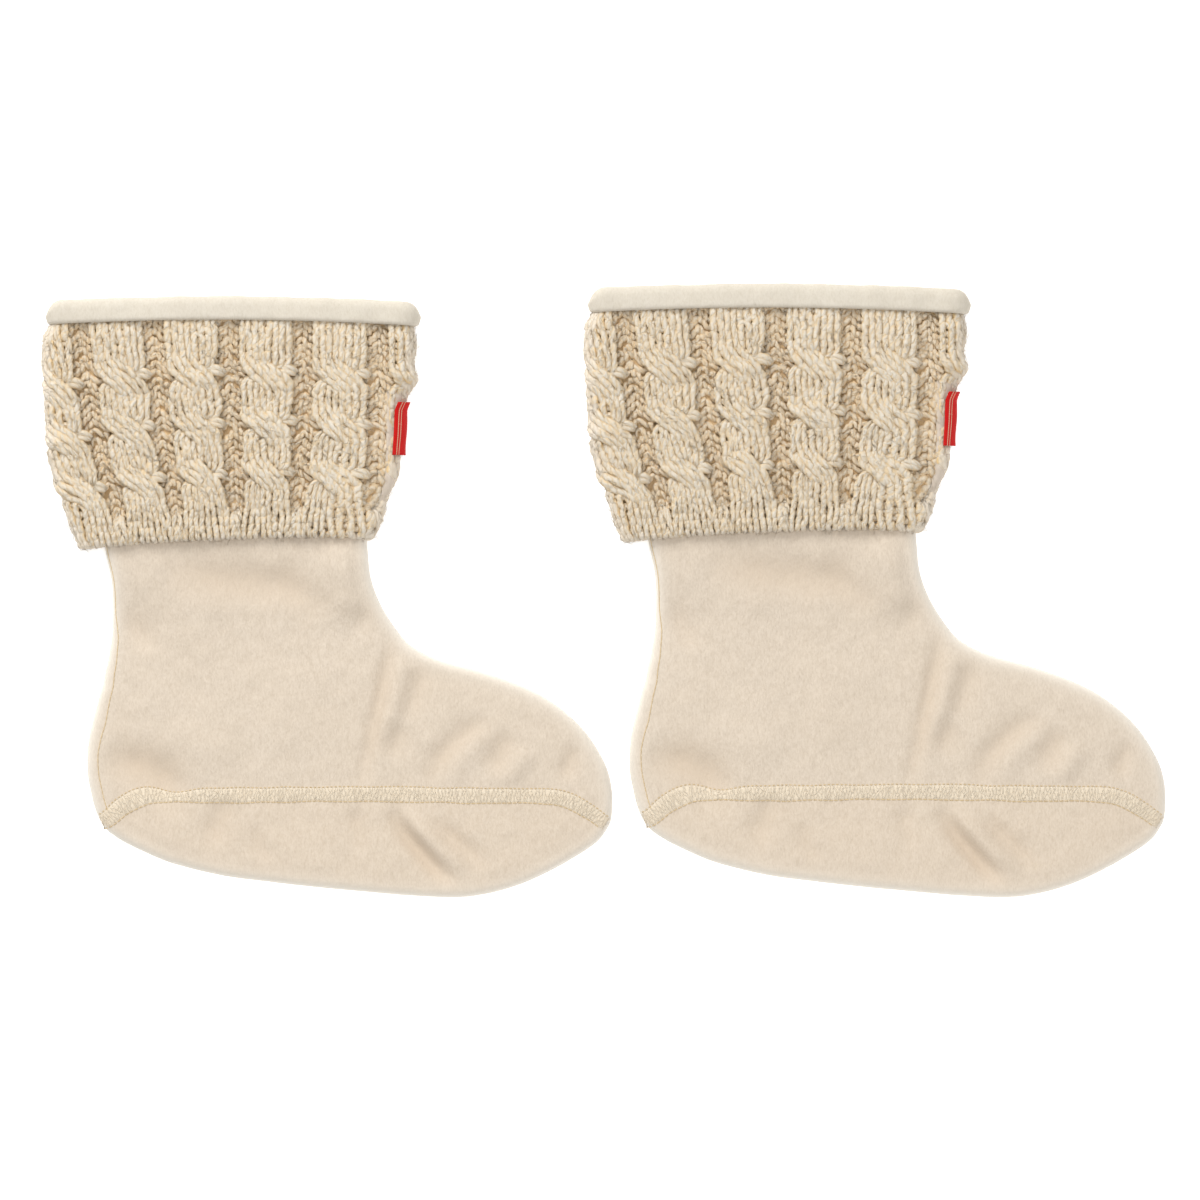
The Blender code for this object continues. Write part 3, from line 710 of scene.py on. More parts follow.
class ClothEffects:
    """Node groups that several cloths share."""

    def __init__(self) -> None:
        """Builds the groups once."""
        self.pile = self.build_pile()
        self.mottling = self.build_mottling()
        self.twist = self.build_twist()

    @staticmethod
    def new_group(name: str, inputs: Sequence[tuple[str, float]], outputs: Sequence[str]
                  ) -> tuple[bpy.types.NodeTree, NodeKit, bpy.types.Node, bpy.types.Node]:
        """Starts a shader node group with named sockets.

        Args:
            name: The group's name.
            inputs: Names and default values of its inputs.
            outputs: Names of its outputs.

        Returns:
            The group, a kit for it, and its input and output nodes.
        """
        group = bpy.data.node_groups.new(name, "ShaderNodeTree")
        for label, value in inputs:
            socket = group.interface.new_socket(label, in_out="INPUT", socket_type="NodeSocketFloat")
            socket.default_value = value
        for label in outputs:
            group.interface.new_socket(label, in_out="OUTPUT", socket_type="NodeSocketFloat")
        kit = NodeKit(group)
        return group, kit, kit.node("NodeGroupInput"), kit.node("NodeGroupOutput")

    @classmethod
    def build_pile(cls) -> bpy.types.NodeTree:
        """Short brushed pile: fine grains, a little longer down the cloth than across it."""
        group, kit, given, result = cls.new_group("brushed pile", (("Grain", 0.0006), ("Streak", 2.5)),
                                                  ("Height", "Shade"))
        place = kit.node("ShaderNodeTexCoord").outputs["Object"]
        across = kit.math("DIVIDE", 1.0, given.outputs["Grain"])
        along = kit.math("DIVIDE", across, given.outputs["Streak"])
        size = kit.node("ShaderNodeCombineXYZ")
        for socket, value in zip(size.inputs, (across, along, across)):
            kit.feed(socket, value)
        grown = kit.node("ShaderNodeVectorMath", operation="MULTIPLY")
        kit.feed(grown.inputs[0], place)
        kit.feed(grown.inputs[1], size.outputs[0])
        fine = kit.noise(grown.outputs[0], 1.0, 3.0, 0.7)
        tufts = kit.noise(grown.outputs[0], 0.33, 2.0, 0.6)
        height = kit.math("MULTIPLY_ADD", tufts, 0.35, fine)
        kit.feed(result.inputs["Height"], height)
        kit.feed(result.inputs["Shade"], kit.spread(height, 0.45, 0.9))
        return group

    @classmethod
    def build_mottling(cls) -> bpy.types.NodeTree:
        """Soft uneven patches of a brushed or dyed cloth."""
        group, kit, given, result = cls.new_group("mottling", (("Size", 0.02), ("Contrast", 1.0)), ("Mask",))
        place = kit.node("ShaderNodeTexCoord").outputs["Object"]
        scale = kit.math("DIVIDE", 1.0, given.outputs["Size"])
        value = kit.noise(place, scale, 3.0, 0.55)
        centred = kit.math("MULTIPLY", kit.math("SUBTRACT", value, 0.5), given.outputs["Contrast"])
        kit.feed(result.inputs["Mask"], kit.spread(centred, -0.25, 0.25))
        return group

    @classmethod
    def build_twist(cls) -> bpy.types.NodeTree:
        """Plies of a soft twisted yarn and its loose fibres, read along its length and round it. Groove is
        low in the ply grooves and darker fibres, and Side is high down the yarn's sides; both mask painted
        shade.
        """
        group, kit, given, result = cls.new_group("yarn twist", (("Plies", 3.0), ("Turn length", 9.0)),
                                                  ("Height", "Groove", "Side"))
        split = kit.node("ShaderNodeSeparateXYZ")
        kit.feed(split.inputs[0], kit.node("ShaderNodeUVMap", uv_map=TEXTURE_PLACES).outputs[0])
        length, share = split.outputs[0], split.outputs[1]
        place = kit.node("ShaderNodeTexCoord").outputs["Object"]
        loose = kit.math("MULTIPLY_ADD", kit.noise(place, 420.0, 2.0), 0.5, share)
        turns = kit.math("ADD", kit.math("DIVIDE", length, given.outputs["Turn length"]), loose)
        phase = kit.math("MULTIPLY", kit.math("MULTIPLY", turns, given.outputs["Plies"]), math.pi)
        plies = kit.math("POWER", kit.math("ABSOLUTE", kit.math("SINE", phase)), 0.6)
        along = kit.node("ShaderNodeCombineXYZ")
        kit.feed(along.inputs[0], kit.math("MULTIPLY", turns, 6.5))
        kit.feed(along.inputs[1], kit.math("MULTIPLY", length, 0.35))
        fibres = kit.noise(along.outputs[0], 1.0, 3.0, 0.7)
        fuzz = kit.noise(place, 2600.0, 2.0, 0.7)
        hair = kit.math("MULTIPLY_ADD", fuzz, 0.5, fibres)
        kit.feed(result.inputs["Height"], kit.math("MULTIPLY_ADD", plies, 0.45, hair))
        # Groove: painted shade in the grooves between plies, mixed with the fibres' own uneven tone
        kit.feed(result.inputs["Groove"], kit.spread(kit.math("MULTIPLY_ADD", plies, 0.40, hair), 0.76, 1.16))
        # Side: painted shade down the yarn's sides, away from its outer face
        from_outside = kit.math("ABSOLUTE", kit.math("SUBTRACT", share, 0.5))
        ragged = kit.math("MULTIPLY_ADD", kit.math("SUBTRACT", hair, 0.75), 0.20, from_outside)
        kit.feed(result.inputs["Side"], kit.spread(ragged, 0.09, 0.21))
        return group


@dataclass(frozen=True)
class ClothFinish:
    """A cloth's colours, pile and sheen, with a painted rim highlight near the sock's edge and painted shade
    in the creases. Colours are linear.
    """

    name: str
    colour: tuple[float, float, float]
    dark: tuple[float, float, float]
    light: tuple[float, float, float]
    grain: float = 0.0006
    streak: float = 2.5
    patch: float = 0.02
    bump_strength: float = 0.65
    bump_height: float = 0.0003
    roughness: float = 0.92
    sheen: float = 0.3
    sheen_roughness: float = 0.3
    # Painted rim highlight: a lighter colour mixed in near the sock's edge
    rim_highlight: tuple[float, float, float] = (0.80, 0.755, 0.675)
    # Painted fold shade: a darker, warmer colour mixed into the creases' troughs
    fold: tuple[float, float, float] = (0.580, 0.470, 0.355)
    grain_shade: float = 0.72

    def material(self, effects: ClothEffects) -> bpy.types.Material:
        """Builds the material.

        Args:
            effects: The shared node groups.

        Returns:
            The material.
        """
        made, kit, shader = new_material(self.name)
        pile = kit.node("ShaderNodeGroup", node_tree=effects.pile)
        pile.inputs["Grain"].default_value = self.grain
        pile.inputs["Streak"].default_value = self.streak
        patches = kit.node("ShaderNodeGroup", node_tree=effects.mottling)
        patches.inputs["Size"].default_value = self.patch
        base = kit.mix(patches.outputs["Mask"], self.colour, self.light)
        grain = kit.spread(pile.outputs["Shade"], 0.0, 0.8, self.grain_shade, 0.0)
        pile_colour = kit.mix(grain, base, self.dark)
        split = kit.node("ShaderNodeSeparateXYZ")
        kit.feed(split.inputs[0], kit.node("ShaderNodeUVMap", uv_map=TEXTURE_PLACES).outputs[0])
        # Painted shade in the creases' troughs
        fold_shaded = kit.mix(split.outputs[1], pile_colour, self.fold)
        # Painted rim highlight, mixed in near the sock's edge
        kit.feed(shader.inputs["Base Color"], kit.mix(split.outputs[0], fold_shaded, self.rim_highlight))
        bumped = kit.bump(pile.outputs["Height"], self.bump_strength, self.bump_height)
        kit.feed(shader.inputs["Normal"], bumped)
        shader.inputs["Roughness"].default_value = self.roughness
        shader.inputs["Specular IOR Level"].default_value = 0.15
        shader.inputs["Sheen Weight"].default_value = self.sheen
        shader.inputs["Sheen Roughness"].default_value = self.sheen_roughness
        shader.inputs["Sheen Tint"].default_value = (1.0, 0.93, 0.82, 1.0)
        return made


@dataclass(frozen=True)
class YarnFinish:
    """A twisted yarn or thread's colours and twist, with painted shade: the groove colour is mixed into the
    ply grooves and, as far as side_shade says, down the yarn's sides. Colours are linear.
    """

    name: str
    colour: tuple[float, float, float]
    # Painted shade colour for the ply grooves and the yarn's sides
    groove: tuple[float, float, float]
    light: tuple[float, float, float]
    plies: float = 3.0
    turn_length: float = 9.0
    side_shade: float = 0.85
    bump_strength: float = 1.0
    bump_height: float = 0.0007
    roughness: float = 0.95
    sheen: float = 0.04

    def material(self, effects: ClothEffects) -> bpy.types.Material:
        """Builds the material.

        Args:
            effects: The shared node groups.

        Returns:
            The material.
        """
        made, kit, shader = new_material(self.name)
        twist = kit.node("ShaderNodeGroup", node_tree=effects.twist)
        twist.inputs["Plies"].default_value = self.plies
        twist.inputs["Turn length"].default_value = self.turn_length
        patches = kit.node("ShaderNodeGroup", node_tree=effects.mottling)
        patches.inputs["Size"].default_value = 0.008
        base = kit.mix(patches.outputs["Mask"], self.colour, self.light)
        # Painted shade: the groove colour in the ply grooves, then down the yarn's sides
        twisted = kit.mix(kit.spread(twist.outputs["Groove"], 0.0, 1.0, 0.6, 0.0), base, self.groove)
        sides = kit.math("MULTIPLY", twist.outputs["Side"], self.side_shade)
        kit.feed(shader.inputs["Base Color"], kit.mix(sides, twisted, self.groove))
        bumped = kit.bump(twist.outputs["Height"], self.bump_strength, self.bump_height)
        kit.feed(shader.inputs["Normal"], bumped)
        shader.inputs["Roughness"].default_value = self.roughness
        shader.inputs["Specular IOR Level"].default_value = 0.2
        shader.inputs["Sheen Weight"].default_value = self.sheen
        shader.inputs["Sheen Roughness"].default_value = 0.5
        shader.inputs["Sheen Tint"].default_value = (1.0, 0.96, 0.9, 1.0)
        return made


@dataclass(frozen=True)
class TapeFinish:
    """Red woven tape with a pair of plain cream lines, read from the tab's own length and width."""

    name: str = "red woven tape"
    red: tuple[float, float, float] = (0.56, 0.008, 0.006)
    dark_red: tuple[float, float, float] = (0.36, 0.005, 0.005)
    cream: tuple[float, float, float] = (0.60, 0.40, 0.27)
    thread: float = 0.00042
    line_places: tuple[float, float] = (1.5, 2.6)
    line_half: float = 0.17

    def material(self) -> bpy.types.Material:
        """Builds the material.

        Returns:
            The material.
        """
        made, kit, shader = new_material(self.name)
        place = kit.node("ShaderNodeUVMap", uv_map=TEXTURE_PLACES).outputs[0]
        split = kit.node("ShaderNodeSeparateXYZ")
        kit.feed(split.inputs[0], place)
        pace = math.pi * MM / self.thread
        warp = kit.math("SINE", kit.math("MULTIPLY", split.outputs[0], pace))
        weft = kit.math("SINE", kit.math("MULTIPLY", split.outputs[1], pace))
        weave = kit.math("MULTIPLY", warp, weft)
        lines = None
        for edge in self.line_places:
            away = kit.math("ABSOLUTE", kit.math("SUBTRACT", split.outputs[0], edge))
            near = kit.math("LESS_THAN", away, self.line_half)
            lines = near if lines is None else kit.math("MAXIMUM", lines, near)
        base = kit.mix(lines, self.red, self.cream)
        kit.feed(shader.inputs["Base Color"],
                 kit.mix(kit.spread(weave, -1.0, 0.2, 0.45, 0.0), base, self.dark_red))
        kit.feed(shader.inputs["Normal"], kit.bump(weave, 0.6, 0.00012))
        shader.inputs["Roughness"].default_value = 0.75
        shader.inputs["Specular IOR Level"].default_value = 0.15
        return made


class Finishes:
    """Every material of the pair, built once."""

    def __init__(self) -> None:
        """Builds the shared effects and the materials."""
        effects = ClothEffects()
        sewing = {"plies": 2.0, "turn_length": 1.6, "side_shade": 0.3, "bump_height": 0.0001}
        self.fleece = ClothFinish(
            "cream fleece", (0.645, 0.553, 0.447), (0.515, 0.43, 0.335), (0.660, 0.570, 0.467),
        ).material(effects)
        self.band = ClothFinish(
            "cream fleece band", (0.605, 0.552, 0.466), (0.53, 0.475, 0.385), (0.625, 0.575, 0.49),
        ).material(effects)
        self.sole = ClothFinish(
            "cream fleece sole", (0.655, 0.556, 0.446), (0.53, 0.435, 0.33), (0.670, 0.574, 0.464),
        ).material(effects)
        self.seam = ClothFinish(
            "sewn seam", (0.720, 0.625, 0.490), (0.63, 0.53, 0.395), (0.745, 0.655, 0.525),
            grain=0.0008, streak=1.0,
        ).material(effects)
        # Painted shade: the backing's dark warm colours stand for the shade seen through the gaps between the
        # stitches
        self.backing = ClothFinish(
            "knit backing in painted shade", (0.60, 0.43, 0.24), (0.48, 0.33, 0.17), (0.65, 0.48, 0.29),
            bump_height=0.0006, sheen=0.1,
        ).material(effects)
        self.strip = ClothFinish(
            "side seam strip", (0.58, 0.495, 0.41), (0.48, 0.40, 0.31), (0.62, 0.54, 0.455),
            grain=0.0009, streak=3.0, bump_height=0.0005,
        ).material(effects)
        # For each yarn and thread below, the second colour is painted shade for its ply grooves and sides
        self.yarn = YarnFinish(
            "oatmeal yarn", (0.705, 0.617, 0.492), (0.77, 0.550, 0.270), (0.730, 0.673, 0.578),
        ).material(effects)
        # Painted shade: a darker, warmer copy of the yarn for the stretches that lie deep in the gutters
        # between cables
        self.shaded_deep_yarn = YarnFinish(
            "oatmeal yarn shaded between cables", (0.690, 0.583, 0.435), (0.76, 0.52, 0.25), (0.73, 0.638, 0.507),
        ).material(effects)
        # Painted light: a paler copy of the yarn, with less painted side shade, for the yarn on the cuff's
        # rounded sides
        self.lit_side_yarn = YarnFinish(
            "oatmeal yarn painted paler at the sides", (0.73, 0.640, 0.515), (0.76, 0.63, 0.46), (0.77, 0.700, 0.600),
            side_shade=0.4,
        ).material(effects)
        self.thread = YarnFinish(
            "seam thread", (0.745, 0.653, 0.522), (0.695, 0.595, 0.460), (0.765, 0.680, 0.553), **sewing,
        ).material(effects)
        self.needle = YarnFinish(
            "needle thread", (0.66, 0.505, 0.285), (0.52, 0.38, 0.20), (0.70, 0.555, 0.335), **sewing,
        ).material(effects)
        self.tape = TapeFinish().material()


@dataclass
class FleeceUpper:
    """The fleece upper: its band turned out over the knit, the leg and the foot down to the sole seam."""

    form: SockForm
    top_columns: int = 80
    under_columns: int = 84
    row_reach: tuple[float, float] = (-12.0, 218.0)
    sample: float = 0.25
    row_step: float = 0.9
    band_inside: float = 3.0
    mouth_inside: float = 26.0
    hidden_leg: float = 16.0
    tuck: float = 0.7
    plump: float = 0.5
    band_rise: float = 1.0
    band_corners: tuple[float, float] = (6.5, 5.5)
    band_reach: tuple[float, float] = (1.9, 1.7)
    reach_over: float = 16.0
    knee: float = 108.0
    leg_columns: int = 90
    edge_round: float = 1.25
    cut: tuple[float, float] = (0.36, 0.20)
    cut_area: float = 0.0400

    def ring(self, curve: Curve, t: float, shows: bool) -> np.ndarray:
        """One open ring: from the back seam over the top layer, round the front and back underneath.

        Args:
            curve: Height of the row at each x.
            t: Distance of the face from the slit between the layers.
            shows: Whether the creases press into it.

        Returns:
            The ring's points.
        """
        form = self.form
        x = np.arange(*self.row_reach, self.sample)
        points = np.column_stack([x, curve(x)])
        depth = form.depth(points)
        angles = np.radians(FOLD_ANGLES)
        targets = form.leg_t - t * np.cos(angles)
        front = self.reach(points[::-1], depth[::-1], targets)
        back = self.reach(points, depth, targets)
        seam = self.reach(points, depth, np.array([form.seam_inset]))[0]
        knee = np.array((min(self.knee, front[0, 0] - 4.0), 0.0))
        knee[1] = float(curve(knee[0]))
        top = np.vstack([self.between(seam, knee, curve, self.leg_columns)[:-1],
                         self.between(knee, front[0], curve, self.top_columns)])
        under = self.between(front[-1], back[-1], curve, self.under_columns)
        rest = self.between(back[0], seam, curve, 5)
        plan = np.vstack([top, front[1:], under[1:-1], back[::-1], rest[1:]])
        lean = np.concatenate([np.full(len(top), 90.0), FOLD_ANGLES[1:], np.full(len(under) - 2, -90.0),
                               FOLD_ANGLES[::-1], np.full(len(rest) - 1, 90.0)])
        lean = np.radians(lean)
        z = form.lift(plan[:, 1]) + form.leg_t + t * np.sin(lean)
        if shows:
            z += np.maximum(np.sin(lean), 0.0) ** 3 * form.relief(plan, Layer.TOP)
            z += np.maximum(-np.sin(lean), 0.0) ** 3 * form.relief(plan, Layer.UNDER)
        return np.column_stack([plan, np.maximum(z, 0.0)])

    @staticmethod
    def reach(points: np.ndarray, depth: np.ndarray, targets: np.ndarray) -> np.ndarray:
        """Finds where a row first lies as deep as each target.

        Args:
            points: The row's samples, from the edge inwards.
            depth: Depth at each sample.
            targets: Depths to find.

        Returns:
            One plan point per target.
        """
        found = []
        for target in targets:
            index = max(1, int(np.argmax(depth >= target)))
            share = (target - depth[index - 1]) / (depth[index] - depth[index - 1])
            found.append(points[index - 1] + share * (points[index] - points[index - 1]))
        return np.array(found)

    @staticmethod
    def between(start: np.ndarray, stop: np.ndarray, curve: Curve, count: int) -> np.ndarray:
        """Evenly spaced points on a row from start to stop, both included.

        Args:
            start: First point.
            stop: Last point.
            curve: Height of the row at each x.
            count: Number of points.

        Returns:
            The points.
        """
        x = np.linspace(start[0], stop[0], count)
        y = curve(x)
        share = np.linspace(0.0, 1.0, count)
        y += (1 - share) * (start[1] - y[0]) + share * (stop[1] - y[-1])
        return np.column_stack([x, y])

    def band_curve(self, height: float) -> Curve:
        """A row of the band, or of the leg under the cuff, bowed like the band's top edge."""
        form = self.form
        share = float(smoothstep(form.hem_y, form.mouth_y - form.band_depth, height))
        return lambda x: height + share * form.bow(form.band_bow, x)

    def foot_curve(self, share: float) -> Curve:
        """A row of the foot, part of the way from the last straight row to the sole seam."""
        form = self.form
        top = form.foot_row_y
        return lambda x: top + share * (form.seam_shift(x, form.seam_gap / 2) - top)

    def band_rows(self) -> np.ndarray:
        """Rows of the band: up inside it, round its free edge, up its face and over the mouth."""
        form = self.form
        inner_t = form.leg_t - form.fleece
        edge_y = form.mouth_y - form.band_depth
        middle_t = form.band_t - self.edge_round
        rows = [(edge_y + self.band_inside, form.band_t - 2 * self.edge_round)]
        for turn in np.radians(np.linspace(-90.0, 90.0, 9)):
            rows.append((edge_y + self.edge_round - self.edge_round * math.cos(turn),
                         middle_t + self.edge_round * math.sin(turn)))
        turn_t = (form.band_t + inner_t) / 2
        wide = form.band_t - turn_t
        turn_y = form.mouth_y - wide
        rows += [(y, form.band_t) for y in np.linspace(edge_y + self.edge_round, turn_y, 5)[1:-1]]
        for turn in np.radians(np.linspace(0.0, 180.0, 17)):
            rows.append((turn_y + wide * math.sin(turn), turn_t + wide * math.cos(turn)))
        rows += [(turn_y - drop, inner_t) for drop in (4.0, 12.0, self.mouth_inside)]
        sheet = np.array([self.ring(self.band_curve(y), t, False) for y, t in rows])
        swell = (0.22 * soft_noise(sheet[..., :2], 17.0, 31) + 0.08 * soft_noise(sheet[..., :2], 6.0, 32)
                 + self.plump * smoothstep(form.mouth_y + 1.0, edge_y, sheet[..., 1]))
        high = smoothstep(form.leg_t * 2, form.band_t * 1.6, sheet[..., 2])
        sheet[..., 2] += swell * high
        sheet[..., 1] += 0.5 * swell * smoothstep(edge_y + 4.0, form.mouth_y, sheet[..., 1])
        back, front = sheet[..., 0].min(), sheet[..., 0].max()
        sheet[..., 0] += (self.band_reach[1] * smoothstep(front - self.reach_over, front, sheet[..., 0])
                          - self.band_reach[0] * smoothstep(back + self.reach_over, back, sheet[..., 0]))
        drop = np.zeros(sheet.shape[:2])
        from_ends = (sheet[..., 0] - sheet[..., 0].min(), sheet[..., 0].max() - sheet[..., 0])
        for corner, gap in zip(self.band_corners, from_ends):
            inward = np.clip(1.0 - gap / corner, 0.0, 0.93)
            drop += corner * (1.0 - np.sqrt(1.0 - inward ** 2))
        heights = np.array([y for y, _ in rows])
        share = np.clip((heights - edge_y) / form.band_depth, 0.0, 1.0)
        top = int(np.argmax(heights))
        share[top:] = 1.0
        sheet[..., 1] += share[:, None] * (self.band_rise - drop)
        return sheet

    def leg_rows(self) -> np.ndarray:
        """Rows of the leg and foot, from inside the cuff down to the sole seam."""
        form = self.form
        heights = [form.hem_y + self.hidden_leg, form.hem_y + 8.0]
        heights += list(np.arange(form.hem_y + 3.0, form.foot_row_y + 0.5, -self.row_step))
        tucks = [self.tuck if y > form.hem_y + 4.0 else 0.0 for y in heights]
        rings = [self.ring(self.band_curve(y), form.leg_t - tuck, True) for y, tuck in zip(heights, tucks)]
        count = int((form.foot_row_y - form.seam_height(100.0)) / self.row_step)
        rings += [self.ring(self.foot_curve(s), form.leg_t, True) for s in np.linspace(0.0, 1.0, count)]
        return np.array(rings)

    def build(self, maker: MeshMaker, finishes: Finishes) -> bpy.types.Object:
        """Builds the upper as one piece.

        Args:
            maker: Makes the pieces of this sock.
            finishes: The pair's materials.

        Returns:
            The piece.
        """
        band, leg = self.band_rows()[:, :-1], self.leg_rows()
        band_quads = maker.sheet_quads(len(band), band.shape[1], closed=True, turned=True)
        leg_quads = maker.sheet_quads(len(leg), leg.shape[1], turned=True)
        quads = np.vstack([band_quads, leg_quads + band.shape[0] * band.shape[1]])
        points = np.vstack([band.reshape(-1, 3), leg.reshape(-1, 3)])
        places = self.form.highlight_and_shade_places(points, quads)
        piece = maker.piece("fleece_upper", points, quads, places, (finishes.fleece, finishes.band), "fleece")
        shades = np.zeros(len(quads), np.int32)
        shades[:len(band_quads)] = 1
        piece.data.polygons.foreach_set("material_index", shades)
        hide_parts(f"{maker.place.name}_upper")
        return piece


@dataclass
class FleeceSole:
    """The boat-shaped sole, folded round the bottom of the foot from seam to seam."""

    form: SockForm
    stations: int = 170
    top_rows: int = 30
    ends: tuple[float, float] = (22.6, 202.4)
    beyond: float = 4.0
    sample: float = 0.2
    heel_end: tuple[float, float] = (20.8, 27.15)
    cut: tuple[float, float] = (0.215, 0.062)
    cut_area: float = 0.0105

    def rows(self) -> np.ndarray:
        """Rings of the sole from heel to toe, each from the seam on top round to the seam underneath."""
        form = self.form
        x = np.linspace(*self.ends, self.stations)
        starts = np.column_stack([x, form.seam_shift(x, -form.seam_gap / 2)])
        edge = np.vstack([self.heel_end, form.bottom_line])
        steps = np.linalg.norm(np.diff(edge, axis=0), axis=1)
        travelled = np.concatenate([[0.0], np.cumsum(steps)]) / steps.sum()
        share = np.linspace(0.0, 1.0, self.stations)
        stops = read_line(edge, travelled, share)
        angles = np.radians(FOLD_ANGLES)
        targets = form.leg_t - form.leg_t * np.cos(angles)
        rings = []
        for start, stop in zip(starts, stops):
            length = float(np.linalg.norm(stop - start))
            shares = np.arange(0.0, 1.0 + self.beyond / length, self.sample / length)[::-1]
            line = start + shares[:, None] * (stop - start)
            fold = FleeceUpper.reach(line, form.depth(line), targets)
            top = start + np.linspace(0.0, 1.0, self.top_rows)[:, None] * (fold[0] - start)
            plan = np.vstack([top[:-1], fold, top[:-1][::-1]])
            flat = np.full(len(top) - 1, 90.0)
            lean = np.radians(np.concatenate([flat, FOLD_ANGLES, -flat]))
            z = form.leg_t + form.leg_t * np.sin(lean)
            z += np.maximum(np.sin(lean), 0.0) ** 3 * form.relief(plan, Layer.TOP)
            z += np.maximum(-np.sin(lean), 0.0) ** 3 * form.relief(plan, Layer.UNDER)
            rings.append(np.column_stack([plan, np.maximum(z, 0.0)]))
        return np.array(rings)

    def build(self, maker: MeshMaker, finishes: Finishes) -> bpy.types.Object:
        """Builds the sole as one piece.

        Args:
            maker: Makes the pieces of this sock.
            finishes: The pair's materials.

        Returns:
            The piece.
        """
        rows = self.rows()
        quads = maker.sheet_quads(len(rows), rows.shape[1], turned=True)
        piece = maker.piece("fleece_sole", rows, quads, self.form.highlight_and_shade_places(rows, quads), (finishes.sole,),
                            "sole_fleece")
        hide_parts(f"{maker.place.name}_sole")
        return piece


